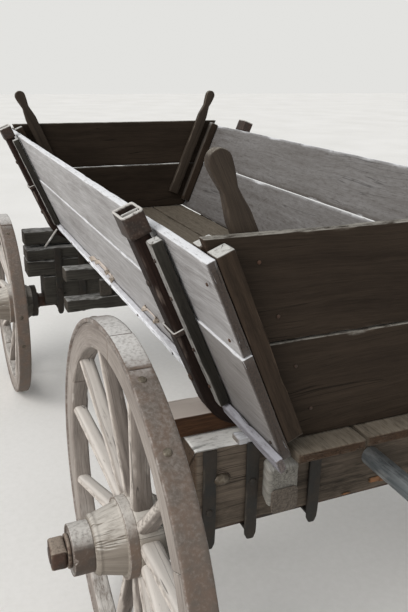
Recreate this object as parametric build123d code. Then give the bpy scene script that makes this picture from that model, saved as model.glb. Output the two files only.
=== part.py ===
from build123d import *
import os
from math import asin, atan, atan2, cos, degrees, hypot, radians, sin, tan

# Four-wheeled wooden farm wagon for hay and field loads: a V-sided plank box between leaning stakes,
# on a running gear of two timber axles joined by a round reach pole, with a steered front axle and a
# hinged draught pole whose tip rests on the ground.
# Millimetres. X points forward, Y to the wagon's left, Z up. The ground is at Z = 0 and the origin is
# midway between the rear wheels' rear edges and the draught pole's tip.

# Wheels
rear_wheel_radius = 500.0
rear_spoke_count = 12
front_wheel_radius = 420.0
front_spoke_count = 10
wheel_plane = 626.0            # from the wagon's centre plane to the middle of a tyre
tyre_width = 52.0
tyre_thickness = 10.0
felloe_width = 48.0
felloe_depth = 60.0
felloe_gap = 1.2               # open joint between two felloes
felloe_chamfer = 7.0
spoke_foot_width = 50.0
spoke_foot_thickness = 32.0
spoke_end_width = 37.0
spoke_end_thickness = 27.0
spoke_edge_flat = 2.0          # flat left between the roundings of a spoke's edge
spoke_inset = 12.0             # how far a spoke's section is drawn past its seats, before the trim
spoke_dish = 36.0              # the spokes' feet sit this much further in than the rim
nave_inner_length = 120.0      # from the wheel plane towards the wagon
nave_outer_length = 78.0
nave_seat_radius = 95.0        # where the spokes stand
nave_seat_outer = -12.0        # outer end of that seat, from the wheel plane
nave_seat_inner = -70.0
nave_seat_step = 9.0           # the seat stands this much out of the tapering inner part
nave_inner_radius = 70.0
nave_outer_radius = 64.0
band_seat_depth = 8.0          # big band's seat below the spokes' seat
band_width = 24.0
band_thickness = 5.0
band_step = 5.0                # from the big band's seat down to the outer taper
nave_cap_radius = 57.0
nave_cap_length = 46.0
nave_cap_rounding = 6.0

# Axles
axle_arm_radius = 25.0
arm_clearance = 0.06           # running fit of a nave on its arm
axle_bar_size = 50.0
bar_proud = 10.0               # how far the iron bar stands out below its timber
shoulder_radius = 36.0
shoulder_length = 12.0
thread_radius = 18.0
thread_proud = 1.0             # threaded end past its nut
axle_nut_size = 54.0
axle_nut_length = 35.0
axle_nut_chamfer = 4.0
washer_radius = 38.0
washer_length = 8.0
end_float = 0.5                # a nave's play along its arm
beam_end_gap = 23.5            # between an axle timber's end and the bar's shoulder
rear_beam_width = 150.0
rear_beam_forward = 35.0       # timber's middle ahead of the rear axle
front_beam_width = 120.0
beam_chamfer = 5.0

# Running gear, lengthways and in height
wheelbase = 1910.0
reach_diameter = 50.0
reach_above_bar = 65.0         # reach pole's middle above the rear axle bar's top
reach_tail = 420.0             # behind the rear axle
reach_nose = 75.0              # ahead of the king pin
reach_chamfer = 6.0
rear_bolster_height = 55.0
front_bolster_height = 68.0
bolster_half_length = 540.0
bolster_width = 90.0
bolster_ahead = 20.0           # bolster's middle ahead of its stakes' middle
rear_stake_forward = 50.0      # stakes' middle ahead of the rear axle
front_stake_forward = 5.0      # and ahead of the front axle
sliding_gap = 5.0              # free space round pieces that move past each other
hound_width = 84.0
hound_height = 108.0
hound_rounding = 14.0
hound_rear_overhang = 44.0     # behind the rear timber's face
hound_rear_spacing = 540.0     # between the two rear hounds' middles, at their rear ends
hound_rear_rise = 7.0          # their rear ends above the reach pole's middle
hound_reach = 900.0            # where the rear hounds meet the reach, ahead of the rear axle
hound_front_width = 56.0
hound_front_height = 60.0
hound_front_rounding = 10.0

# Front carriage
steer_layer = 80.0             # height of the layer that holds the front hounds and the reach
sand_bolster_height = 56.0     # above the hounds
sand_slot_half_width = 210.0   # its ends go down to the timber outside this
turning_plate_thickness = 5.6
turning_plate_radius = 150.0
plate_gap = 0.4
king_pin_radius = 14.0
king_pin_clearance = 0.1
king_pin_lift = 2.0            # king pin's lower end above the axle bar
fore_hound_width = 60.0
fore_hound_rear = 430.0        # behind the front axle
fore_hound_front = 470.0       # ahead of the front axle
fore_hound_rear_spacing = 480.0   # clear width between the two, at their rear ends
fore_hound_straight_length = 90.0   # straight part behind the pole pin
fore_hound_rounding = 24.0
sway_bar_half_length = 440.0
sway_bar_width = 70.0
sway_bar_height = 56.0
pole_pin_ahead = 410.0         # from the front axle
pole_pin_radius = 11.0
pin_clearance = 0.06

# Draught pole
pole_length = 2650.0           # from its pin to its tip
pole_tail = 48.0
pole_tail_size = 78.0
pole_tail_rounding = 16.0
pole_neck_size = 88.0
pole_neck_rounding = 36.0
pole_neck_at = 380.0
pole_end_size = 56.0
pole_end_rounding = 27.0
ferrule_radius = 34.0
ferrule_length = 150.0
ferrule_cap = 12.0

# Box
side_thickness = 25.0
side_bottom_half_width = 362.0  # outer faces at the bolster's top
side_top_half_width = 540.0
side_height = 430.0
upper_board_share = 0.434       # of a side's slant height
box_rear_overhang = 230.0       # behind the rear axle
box_front_overhang = 300.0      # ahead of the front axle
floor_thickness = 25.0
floor_board_count = 4
floor_gap = 6.0
floor_side_gap = 0.8
floor_rear_ends = (9.0, 3.0, 12.0, 5.0)   # each floor board past the sides' rear ends
end_board_thickness = 26.0
end_board_inset = 46.0          # outer face, from the sides' ends
end_lower_plank_height = 221.0   # from the floor's top to the joint of its two planks
end_board_proud = 32.0          # above the sides
end_board_side_gap = 5.0
end_slot_gap = 2.0              # each side of the board, between its battens
batten_depth = 38.0
inner_batten_width = 38.0
seat_gap = 0.3
cleat_thickness = 24.0
cleat_width = 50.0
cleat_offset = 67.0             # from the sides' inner face
cleat_foot_gap = 30.0           # cleat's lower end above the floor
handle_rise = 111.0             # above the end board
handle_shoulder = 20.0          # where the cleat starts to narrow, below the end board's top
handle_neck_share = 0.3         # narrowest place, as a share of the rise
handle_neck = 31.0
handle_head = 48.0
side_cleat_thickness = 27.0
side_cleat_width = 34.0
side_cleat_gap = 5.0            # between a stake and the cleat behind it
side_cleat_below_top = 5.0
rail_thickness = 18.0
rail_height = 40.0
rail_end_gap = 6.0
rail_overhang = 22.0            # behind the sides' rear ends

# Stakes
stake_gap = 8.0                 # between a stake and its side board
stake_width = 66.0
stake_thickness = 39.0
stake_chamfer = 8.0
stake_foot_radius = 125.0
stake_toe_height = 50.0
stake_toe_half_width = 235.0    # inner end of the toe, from the centre plane
socket_wall = 4.5
socket_length = 52.0
socket_cover = 16.0             # how far the stake goes up into its socket
stake_above_side = 20.0         # stake's top past the side's top edge, along the slope
hoop_height = 14.0
hoop_wall = 4.0
hoop_up = 232.0                 # along the slope, from the side's bottom edge

# Axle straps
strap_thickness = 8.0
strap_width = 34.0
strap_tail = 26.0               # pointed ends below the bar
rear_strap_places = (438.0, 331.0, 162.0)   # from the centre plane
front_strap_places = (400.0, 290.0)

# Worked out from the values above
box_lean = atan2(side_top_half_width - side_bottom_half_width, side_height)
side_slant = hypot(side_top_half_width - side_bottom_half_width, side_height)
beam_half_length = wheel_plane - nave_inner_length - end_float - shoulder_length - beam_end_gap
reach_height = rear_wheel_radius + axle_bar_size / 2 + reach_above_bar
front_layer_bottom = reach_height - steer_layer / 2
front_layer_top = reach_height + steer_layer / 2
sand_top = front_layer_top + sand_bolster_height
plate_top = sand_top + turning_plate_thickness
front_bolster_bottom = plate_top + plate_gap
bolster_top = front_bolster_bottom + front_bolster_height   # what the box stands on
rear_beam_top = bolster_top - rear_bolster_height
floor_top = bolster_top + floor_thickness
side_top = bolster_top + side_height
end_board_joint = floor_top + end_lower_plank_height
pole_angle = asin(reach_height / hypot(pole_length, ferrule_radius)) - atan(ferrule_radius / pole_length)
pole_reach_x = pole_length * cos(pole_angle) + ferrule_radius * sin(pole_angle)
rear_extent = max(rear_wheel_radius, reach_tail, box_rear_overhang)
rear_axle_x = (rear_extent - wheelbase - pole_pin_ahead - pole_reach_x) / 2
front_axle_x = rear_axle_x + wheelbase
rear_stake_x = rear_axle_x + rear_stake_forward
front_stake_x = front_axle_x + front_stake_forward
pole_pin_x = front_axle_x + pole_pin_ahead
box_rear = rear_axle_x - box_rear_overhang
box_front = front_axle_x + box_front_overhang

nodes = {}


def block(x_low, x_high, y_low, y_high, z_low, z_high):
    """A plain timber or bar between two corners."""
    middle = ((x_low + x_high) / 2, (y_low + y_high) / 2, (z_low + z_high) / 2)
    return Pos(*middle) * Box(x_high - x_low, y_high - y_low, z_high - z_low)


def rod_y(radius, y_low, y_high, x, z):
    """A round bar along Y."""
    return Plane(origin=(x, y_low, z), x_dir=(1, 0, 0), z_dir=(0, 1, 0)) * Cylinder(
        radius, y_high - y_low, align=(Align.CENTER, Align.CENTER, Align.MIN))


def rod_x(radius, x_low, x_high, y, z):
    """A round bar along X."""
    return Plane(origin=(x_low, y, z), x_dir=(0, 1, 0), z_dir=(1, 0, 0)) * Cylinder(
        radius, x_high - x_low, align=(Align.CENTER, Align.CENTER, Align.MIN))


def rod_z(radius, z_low, z_high, x, y):
    """A round bar along Z."""
    return Pos(x, y, z_low) * Cylinder(radius, z_high - z_low, align=(Align.CENTER, Align.CENTER, Align.MIN))


def profile_x(points, x_low, x_high):
    """A closed outline of (y, z) points, extruded along X."""
    face = make_face(Polyline(*points, close=True))
    return extrude(Plane(origin=(x_low, 0, 0), x_dir=(0, 1, 0), z_dir=(1, 0, 0)) * face, x_high - x_low)


def profile_y(points, y_low, y_high):
    """A closed outline of (x, z) points, extruded along Y."""
    face = make_face(Polyline(*points, close=True))
    plane = Plane(origin=(0, y_high, 0), x_dir=(1, 0, 0), z_dir=(0, -1, 0))
    return extrude(plane * face, y_high - y_low)


def mirrored(shape):
    """The same piece on the wagon's right."""
    return mirror(shape, about=Plane.XZ)


def both_sides(shapes):
    """Pieces of the left side followed by their right-hand twins."""
    return list(shapes) + [mirrored(shape) for shape in shapes]


def solids_of(shape):
    """The single solids of a shape."""
    return list(shape.solids())


def add(name, shapes):
    """Keep one node, from a solid or a list of solids that don't touch."""
    kept = []
    for shape in shapes if isinstance(shapes, (list, tuple)) else [shapes]:
        kept.extend(solids_of(shape))
    nodes[name] = kept


def lean_plane(x):
    """Frame of the left side: X forward, Y out of the outer face, Z up the slope."""
    return Plane(origin=(x, side_bottom_half_width, bolster_top), x_dir=(1, 0, 0),
                 z_dir=(0, sin(box_lean), cos(box_lean)))


def leaning_block(x_low, x_high, out_low, out_high, up_low, up_high):
    """A block in the left side's own frame."""
    middle = ((x_low + x_high) / 2, (out_low + out_high) / 2, (up_low + up_high) / 2)
    size = (x_high - x_low, out_high - out_low, up_high - up_low)
    return lean_plane(0) * Pos(*middle) * Box(*size)


def above(shape, level):
    """What is left of a shape above a level."""
    return split(shape, bisect_by=Plane.XY.offset(level), keep=Keep.TOP)


def lean_point(out, up):
    """(y, z) of a point of the left side: out of its outer face, and up its slope."""
    return (side_bottom_half_width + out * cos(box_lean) + up * sin(box_lean),
            bolster_top - out * sin(box_lean) + up * cos(box_lean))


def side_y(out, z):
    """Y of the plane that lies this far out of the left side's outer face, at height z."""
    return side_bottom_half_width + out / cos(box_lean) + (z - bolster_top) * tan(box_lean)


def axle_bar(x, z):
    """Iron axle: a square bar with a shoulder, a round arm and a threaded end each side."""
    arm_start = wheel_plane - nave_inner_length - end_float
    arm_end = wheel_plane + nave_outer_length + nave_cap_length + end_float + washer_length
    bar_end = arm_start - shoulder_length
    half = axle_bar_size / 2
    bar = block(x - half, x + half, -bar_end, bar_end, z - half, z + half)
    for sign in (1, -1):
        ends = sorted((sign * bar_end, sign * arm_start))
        bar += rod_y(shoulder_radius, ends[0], ends[1], x, z)
        ends = sorted((sign * arm_start, sign * arm_end))
        bar += rod_y(axle_arm_radius, ends[0], ends[1], x, z)
        ends = sorted((sign * arm_end, sign * (arm_end + axle_nut_length + thread_proud)))
        bar += rod_y(thread_radius, ends[0], ends[1], x, z)
    return bar


def axle_nuts(x, z):
    """Square nut and round washer at each end of an axle."""
    washer_end = wheel_plane + nave_outer_length + nave_cap_length + end_float + washer_length
    washer = rod_y(washer_radius, washer_end - washer_length, washer_end, x, z)
    washer -= rod_y(axle_arm_radius + seat_gap, washer_end - washer_length, washer_end, x, z)
    half = axle_nut_size / 2
    nut = block(x - half, x + half, washer_end, washer_end + axle_nut_length, z - half, z + half)
    nut = chamfer(nut.edges().filter_by(Axis.Y), axle_nut_chamfer)
    nut -= rod_y(thread_radius + pin_clearance, washer_end, washer_end + axle_nut_length, x, z)
    return both_sides([nut + washer])


def axle_strap(x, z_bar, y, beam_width, top):
    """U-shaped strap round an axle timber and its bar, with pointed ends below."""
    inner = beam_width / 2
    outer = inner + strap_thickness
    under = z_bar - axle_bar_size / 2
    low = under - strap_thickness
    tip = low - strap_tail
    middle = (inner + outer) / 2
    points = [(x - outer, top), (x - inner, top), (x - inner, under), (x + inner, under), (x + inner, top),
              (x + outer, top), (x + outer, low), (x + middle, tip), (x + inner - strap_thickness, low),
              (x - inner + strap_thickness, low), (x - middle, tip), (x - outer, low)]
    return profile_y(points, y - strap_width / 2, y + strap_width / 2)


def wheel_pieces(radius, spoke_count):
    """A wheel round the Y axis with its outer side at +Y: a dict of piece name to shapes."""
    rim_out = radius - tyre_thickness
    rim_in = rim_out - felloe_depth
    axis = Axis.Y
    tyre_face = Polyline((rim_out, -tyre_width / 2), (radius, -tyre_width / 2), (radius, tyre_width / 2),
                         (rim_out, tyre_width / 2), close=True)
    flat = Plane.XY
    tyre = revolve(flat * make_face(tyre_face), axis)
    half = felloe_width / 2
    felloe_outline = Polyline((rim_in + felloe_chamfer, -half), (rim_out, -half), (rim_out, half),
                              (rim_in + felloe_chamfer, half), (rim_in, half - felloe_chamfer),
                              (rim_in, felloe_chamfer - half), close=True)
    felloe_count = spoke_count // 2
    gap_angle = degrees(felloe_gap / rim_in)
    step = 360.0 / felloe_count
    one_felloe = revolve(flat * make_face(felloe_outline), axis, revolution_arc=step - gap_angle)
    felloes = [Rot(0, step * index, 0) * one_felloe for index in range(felloe_count)]
    bore = axle_arm_radius + arm_clearance
    band_seat = nave_seat_radius - band_seat_depth
    band_out = nave_seat_outer + band_width
    nave_outline = Polyline(
        (bore, -nave_inner_length), (nave_inner_radius, -nave_inner_length),
        (nave_inner_radius, band_width - nave_inner_length),
        (nave_seat_radius - nave_seat_step, nave_seat_inner),
        (nave_seat_radius, nave_seat_inner), (nave_seat_radius, nave_seat_outer),
        (band_seat, nave_seat_outer), (band_seat, band_out), (band_seat - band_step, band_out),
        (nave_outer_radius, nave_outer_length), (bore, nave_outer_length), close=True)
    nave = revolve(flat * make_face(nave_outline), axis)
    cap = rod_y(nave_cap_radius, nave_outer_length, nave_outer_length + nave_cap_length, 0, 0)
    cap = fillet(cap.edges().sort_by(Axis.Y)[-1], nave_cap_rounding)
    bands = [
        rod_y(band_seat + band_thickness, nave_seat_outer, band_out, 0, 0)
        - rod_y(band_seat, nave_seat_outer, band_out, 0, 0),
        rod_y(nave_inner_radius + band_thickness, -nave_inner_length, band_width - nave_inner_length, 0, 0)
        - rod_y(nave_inner_radius, -nave_inner_length, band_width - nave_inner_length, 0, 0),
        cap - rod_y(bore, nave_outer_length, nave_outer_length + nave_cap_length, 0, 0),
    ]
    foot = Plane(origin=(0, -spoke_dish, nave_seat_radius - spoke_inset), x_dir=(1, 0, 0), z_dir=(0, 0, 1))
    end = Plane(origin=(0, 0, rim_in + spoke_inset), x_dir=(1, 0, 0), z_dir=(0, 0, 1))
    foot_rounding = (spoke_foot_thickness - spoke_edge_flat) / 2
    end_rounding = (spoke_end_thickness - spoke_edge_flat) / 2
    spoke = loft([foot * RectangleRounded(spoke_foot_thickness, spoke_foot_width, foot_rounding),
                  end * RectangleRounded(spoke_end_thickness, spoke_end_width, end_rounding)], ruled=True)
    spoke -= rod_y(nave_seat_radius, -radius, radius, 0, 0)
    spoke -= rod_y(radius, -radius, radius, 0, 0) - rod_y(rim_in, -radius, radius, 0, 0)
    turn = 360.0 / spoke_count
    spokes = [Rot(0, turn * (index + 0.5), 0) * spoke for index in range(spoke_count)]
    return {"tyre": [tyre], "felloes": felloes, "spokes": spokes, "nave": [nave], "nave_bands": bands}


def build_wheels():
    """The four wheels, each as five nodes."""
    for place, x, radius, spoke_count in (
            ("rear", rear_axle_x, rear_wheel_radius, rear_spoke_count),
            ("front", front_axle_x, front_wheel_radius, front_spoke_count)):
        pieces = wheel_pieces(radius, spoke_count)
        for side in ("left", "right"):
            for piece, shapes in pieces.items():
                moved = [Pos(x, wheel_plane, radius) * shape for shape in shapes]
                if side == "right":
                    moved = [mirrored(shape) for shape in moved]
                add(f"{place}_{side}_{piece}", moved)


def stake(x):
    """Left stake with its curved foot, whose toe runs inwards in the bolster's top."""
    up_top = side_slant + stake_above_side
    far = stake_gap + stake_thickness
    toe_low = bolster_top - stake_toe_height
    corner = (side_y(far, toe_low), toe_low)
    points = [lean_point(stake_gap, up_top), lean_point(far, up_top), corner,
              (stake_toe_half_width, toe_low), (stake_toe_half_width, bolster_top),
              (side_y(stake_gap, bolster_top), bolster_top)]
    half = stake_width / 2
    shape = profile_x(points, x - half, x + half)
    foot_edges = shape.edges().filter_by(Axis.X).sort_by_distance((x, corner[0], corner[1]))
    shape = fillet(foot_edges[:1], stake_foot_radius)
    up_slope = Vector(0, sin(box_lean), cos(box_lean))
    out_of_side = Vector(0, cos(box_lean), -sin(box_lean))
    far_point = Vector(x, *lean_point(far, 0))
    corners = [edge for edge in shape.edges()
               if abs((edge % 0.5).dot(up_slope)) > 0.999
               and abs((edge.center() - far_point).dot(out_of_side)) < 0.01]
    return chamfer(corners, stake_chamfer)


def stake_socket(x):
    """Open iron socket on top of a left stake."""
    half = stake_width / 2
    low = side_slant + stake_above_side - socket_cover
    high = low + socket_length
    near = stake_gap
    far = stake_gap + stake_thickness
    socket = leaning_block(x - half - socket_wall, x + half + socket_wall,
                           near - socket_wall, far + socket_wall, low, high)
    return socket - leaning_block(x - half, x + half, near, far, low, high)


def stake_hoop(x):
    """Iron hoop round a left stake, low on its shaft."""
    half = stake_width / 2
    near = seat_gap
    far = stake_gap + stake_thickness
    high = hoop_up + hoop_height
    hoop = leaning_block(x - half - hoop_wall, x + half + hoop_wall, near, far + hoop_wall, hoop_up, high)
    return hoop - leaning_block(x - half, x + half, near, far, hoop_up, high)


def axle_timber(middle, width, bottom, top):
    """An axle timber across the gear, its long upper edges taken off."""
    half = width / 2
    timber = block(middle - half, middle + half, -beam_half_length, beam_half_length, bottom, top)
    return chamfer(timber.edges().filter_by(Axis.Y).group_by(Axis.Z)[-1], beam_chamfer)


def build_rear_gear():
    """Rear axle timber with its bar, nuts, straps, hounds and bolster, and the reach pole."""
    x = rear_axle_x
    middle = x + rear_beam_forward
    bar_half = axle_bar_size / 2
    bar_low = rear_wheel_radius - bar_half
    beam = axle_timber(middle, rear_beam_width, bar_low + bar_proud, rear_beam_top)
    beam -= block(x - bar_half, x + bar_half, -beam_half_length, beam_half_length,
                  bar_low, rear_wheel_radius + bar_half)
    hounds = both_sides([rear_hound()])
    for hound in hounds:
        beam -= hound
    reach_radius = reach_diameter / 2
    reach_low = x - reach_tail
    reach_high = front_axle_x + reach_nose
    reach = rod_x(reach_radius, reach_low, reach_high, 0, reach_height)
    reach = chamfer(reach.edges().filter_by(GeomType.CIRCLE), reach_chamfer)
    beam -= rod_x(reach_radius + seat_gap, middle - rear_beam_width, middle + rear_beam_width,
                  0, reach_height)
    reach -= rod_z(king_pin_radius + king_pin_clearance, reach_height - reach_radius,
                   reach_height + reach_radius, front_axle_x, 0)
    add("rear_axle_beam", beam)
    add("rear_hounds", hounds)
    add("reach_pole", reach)
    add("rear_axle_bar", axle_bar(x, rear_wheel_radius))
    add("rear_axle_nuts", axle_nuts(x, rear_wheel_radius))
    straps = [axle_strap(middle, rear_wheel_radius, y, rear_beam_width, rear_beam_top)
              for y in rear_strap_places]
    add("rear_axle_straps", both_sides(straps))
    add("rear_bolster", bolster(rear_stake_x, rear_beam_top))


def rear_hound():
    """Left rear hound: a tapering arm from behind the rear timber to the reach pole's flank."""
    start_x = rear_axle_x + rear_beam_forward - rear_beam_width / 2 - hound_rear_overhang
    finish_y = reach_diameter / 2 + seat_gap + hound_front_width / 2
    start = (start_x, hound_rear_spacing / 2, reach_height + hound_rear_rise)
    finish = (rear_axle_x + hound_reach, finish_y, reach_height)
    rear_face = Plane(origin=start, x_dir=(0, 1, 0), z_dir=(1, 0, 0))
    front_face = Plane(origin=finish, x_dir=(0, 1, 0), z_dir=(1, 0, 0))
    sections = [rear_face * RectangleRounded(hound_width, hound_height, hound_rounding),
                front_face * RectangleRounded(hound_front_width, hound_front_height, hound_front_rounding)]
    return loft(sections, ruled=True)


def bolster(stake_x, bottom):
    """Bolster across the gear, notched for the feet of its two stakes."""
    middle = stake_x + bolster_ahead
    half = bolster_width / 2
    timber = block(middle - half, middle + half, -bolster_half_length, bolster_half_length,
                   bottom, bolster_top)
    for foot in both_sides([stake(stake_x)]):
        timber -= foot
    return timber


def build_front_gear():
    """Steered front carriage below the king pin, and the fixed front bolster above it."""
    x = front_axle_x
    half = front_beam_width / 2
    bar_half = axle_bar_size / 2
    bar_low = front_wheel_radius - bar_half
    pin_hole = king_pin_radius + king_pin_clearance
    beam = axle_timber(x, front_beam_width, bar_low + bar_proud, front_layer_bottom)
    beam -= block(x - bar_half, x + bar_half, -beam_half_length, beam_half_length,
                  bar_low, front_wheel_radius + bar_half)
    beam -= rod_z(pin_hole, bar_low, front_layer_bottom, x, 0)
    add("front_axle_beam", beam)
    add("front_axle_bar", axle_bar(x, front_wheel_radius))
    add("front_axle_nuts", axle_nuts(x, front_wheel_radius))
    straps = [axle_strap(x, front_wheel_radius, y, front_beam_width, sand_top)
              for y in front_strap_places]
    add("front_axle_straps", both_sides(straps))
    sand = block(x - half, x + half, -bolster_half_length, bolster_half_length, front_layer_bottom, sand_top)
    sand -= block(x - half, x + half, -sand_slot_half_width, sand_slot_half_width,
                  front_layer_bottom, front_layer_top)
    add("sand_bolster", sand - rod_z(pin_hole, front_layer_top, sand_top, x, 0))
    plate = rod_z(turning_plate_radius, sand_top, plate_top, x, 0)
    plate &= block(x - half, x + half, -turning_plate_radius, turning_plate_radius, sand_top, plate_top)
    add("turning_plate", plate - rod_z(pin_hole, sand_top, plate_top, x, 0))
    add("front_hounds", both_sides([fore_hound()]))
    rear_edge = x - fore_hound_rear
    bars = [block(rear_edge, rear_edge + sway_bar_width, -sway_bar_half_length, sway_bar_half_length, low,
                  low + sway_bar_height) for low in (front_layer_top, front_layer_bottom - sway_bar_height)]
    add("sway_bars", bars)
    timber = bolster(front_stake_x, front_bolster_bottom)
    timber -= rod_z(king_pin_radius, front_bolster_bottom, bolster_top, x, 0)
    add("front_bolster", timber)
    add("king_pin", rod_z(king_pin_radius, front_wheel_radius + bar_half + king_pin_lift, bolster_top, x, 0))
    hound_out = pole_tail_size / 2 + sliding_gap + fore_hound_width
    add("pole_pin", rod_y(pole_pin_radius, -hound_out, hound_out, pole_pin_x, reach_height))


def fore_hound():
    """Left front hound: it spreads to the sway bars behind and closes on the pole ahead."""
    inner_front = pole_tail_size / 2 + sliding_gap
    rear = front_axle_x - fore_hound_rear
    front = front_axle_x + fore_hound_front
    straight = pole_pin_x - fore_hound_straight_length
    spread = fore_hound_rear_spacing / 2
    outline = Polyline((rear, spread), (rear, spread + fore_hound_width),
                       (straight, inner_front + fore_hound_width), (front, inner_front + fore_hound_width),
                       (front, inner_front), (straight, inner_front), close=True)
    arm = extrude(Plane.XY.offset(front_layer_bottom) * make_face(outline), steer_layer)
    arm = fillet(arm.edges().filter_by(Axis.Y).group_by(Axis.X)[-1], fore_hound_rounding)
    hole_end = inner_front + fore_hound_width
    return arm - rod_y(pole_pin_radius, inner_front, hole_end, pole_pin_x, reach_height)


def build_pole():
    """Draught pole, hinged between the front hounds and sloping down to the ground."""
    tilt = Plane(origin=(pole_pin_x, 0, reach_height), x_dir=(0, 1, 0),
                 z_dir=(cos(pole_angle), 0, -sin(pole_angle)))
    # Rows: distance from the pin, size of the section, its corners' radius
    table = (
        (-pole_tail, pole_tail_size, pole_tail_rounding),
        (pole_neck_at, pole_neck_size, pole_neck_rounding),
        (pole_length - ferrule_cap, pole_end_size, pole_end_rounding),
    )
    sections = [tilt * Pos(0, 0, along) * RectangleRounded(size, size, corner)
                for along, size, corner in table]
    pole = loft(sections, ruled=True)
    pole -= rod_y(pole_pin_radius + pin_clearance, -pole_tail_size, pole_tail_size, pole_pin_x, reach_height)
    tube = tilt * Pos(0, 0, pole_length - ferrule_length) * Cylinder(
        ferrule_radius, ferrule_length, align=(Align.CENTER, Align.CENTER, Align.MIN))
    add("pole", pole)
    add("pole_ferrule", tube - pole)


def build_floor():
    """Floor boards, with open joints and uneven rear ends."""
    half_width = side_y(-side_thickness, bolster_top) - floor_side_gap
    width = (2 * half_width - (floor_board_count - 1) * floor_gap) / floor_board_count
    boards = []
    for index in range(floor_board_count):
        left = half_width - index * (width + floor_gap)
        rear = box_rear - floor_rear_ends[index % len(floor_rear_ends)]
        boards.append(block(rear, box_front, left - width, left, bolster_top, floor_top))
    add("floor_boards", boards)


def build_sides():
    """Side boards, rails, cleats and the battens that hold the end boards."""
    joint = side_slant * (1 - upper_board_share)
    lower = leaning_block(box_rear, box_front, -side_thickness, 0, -side_thickness, joint)
    lower = above(lower, bolster_top)
    upper = leaning_block(box_rear, box_front, -side_thickness, 0, joint, side_slant)
    add("left_lower_board", lower)
    add("left_upper_board", upper)
    add("right_lower_board", mirrored(lower))
    add("right_upper_board", mirrored(upper))
    cleats = []
    rails = []
    half = stake_width / 2
    rail_start = box_rear - rail_overhang
    for stake_x in (rear_stake_x, front_stake_x):
        cleat_front = stake_x - half - side_cleat_gap
        cleats.append(leaning_block(cleat_front - side_cleat_width, cleat_front, 0, side_cleat_thickness,
                                    rail_height + rail_end_gap, side_slant - side_cleat_below_top))
        rails.append((rail_start, stake_x - half - rail_end_gap))
        rail_start = stake_x + half + rail_end_gap
    rails.append((rail_start, box_front))
    rail_blocks = [leaning_block(rear, front, 0, rail_thickness, -rail_thickness, rail_height)
                   for rear, front in rails]
    add("side_cleats", both_sides(cleats))
    add("side_rails", both_sides([above(rail, bolster_top) for rail in rail_blocks]))
    battens = []
    near = -side_thickness - batten_depth
    slot = end_board_thickness + 2 * end_slot_gap
    for end_x, inwards in ((box_rear, 1), (box_front, -1)):
        slot_outer = end_x + inwards * (end_board_inset - end_slot_gap)
        slot_inner = slot_outer + inwards * slot
        for first, last in ((end_x, slot_outer), (slot_inner, slot_inner + inwards * inner_batten_width)):
            low, high = sorted((first, last))
            batten = leaning_block(low, high, near, -side_thickness, 0, side_slant)
            battens.append(above(batten, floor_top))
    add("end_battens", both_sides(battens))


def end_board(name, face_x, inwards):
    """An end board of two planks with two cleats, whose tops are handles. It lifts out of its slots."""
    low = floor_top + seat_gap
    high = side_top + end_board_proud
    x_low, x_high = sorted((face_x, face_x + inwards * end_board_thickness))

    def half_width(z):
        return side_y(-side_thickness, z) - end_board_side_gap

    def plank(z_low, z_high):
        points = [(-half_width(z_low), z_low), (half_width(z_low), z_low), (half_width(z_high), z_high),
                  (-half_width(z_high), z_high)]
        return profile_x(points, x_low, x_high)

    add(f"{name}_lower_plank", plank(low, end_board_joint))
    add(f"{name}_upper_plank", plank(end_board_joint, high))
    inner_face = face_x + inwards * end_board_thickness
    cleat_low, cleat_high = sorted((inner_face, inner_face + inwards * cleat_thickness))
    add(f"{name}_cleats", both_sides([end_cleat(cleat_low, cleat_high, low, high)]))


def end_cleat(x_low, x_high, low, high):
    """Left cleat of an end board: a strip up the slope that ends in a rounded handle."""
    up_foot = (low - bolster_top) / cos(box_lean) + cleat_foot_gap
    up_board = (high - bolster_top) / cos(box_lean)
    up_shoulder = up_board - handle_shoulder
    up_neck = up_board + handle_neck_share * handle_rise
    head = handle_head / 2
    up_head = up_board + handle_rise - head
    out_edge = -side_thickness - cleat_offset
    in_edge = out_edge - cleat_width
    middle = (out_edge + in_edge) / 2
    edge_line = Polyline(lean_point(middle + head, up_head), lean_point(middle + handle_neck / 2, up_neck),
                         lean_point(out_edge, up_shoulder), lean_point(out_edge, up_foot),
                         lean_point(in_edge, up_foot), lean_point(in_edge, up_shoulder),
                         lean_point(middle - handle_neck / 2, up_neck), lean_point(middle - head, up_head))
    crown = ThreePointArc(lean_point(middle - head, up_head), lean_point(middle, up_head + head),
                          lean_point(middle + head, up_head))
    face = make_face(edge_line.edges() + crown.edges())
    return extrude(Plane(origin=(x_low, 0, 0), x_dir=(0, 1, 0), z_dir=(1, 0, 0)) * face, x_high - x_low)


def build_stakes():
    """Four stakes with their sockets and hoops."""
    places = (rear_stake_x, front_stake_x)
    add("stakes", both_sides([stake(x) for x in places]))
    add("stake_sockets", both_sides([stake_socket(x) for x in places]))
    add("stake_hoops", both_sides([stake_hoop(x) for x in places]))


build_wheels()
build_rear_gear()
build_front_gear()
build_pole()
build_floor()
build_sides()
build_stakes()
end_board("rear_end", box_rear + end_board_inset, 1)
end_board("front_end", box_front - end_board_inset, -1)

os.makedirs("parts", exist_ok=True)
for node_name, node_solids in nodes.items():
    shape = node_solids[0] if len(node_solids) == 1 else Compound(children=node_solids)
    export_step(shape, f"parts/{node_name}.step")
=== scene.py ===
from math import asin, atan, atan2, cos, hypot, pi, radians, sin, tan
import bpy
import bmesh
import numpy as np
from mathutils import Matrix, Vector


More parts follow.
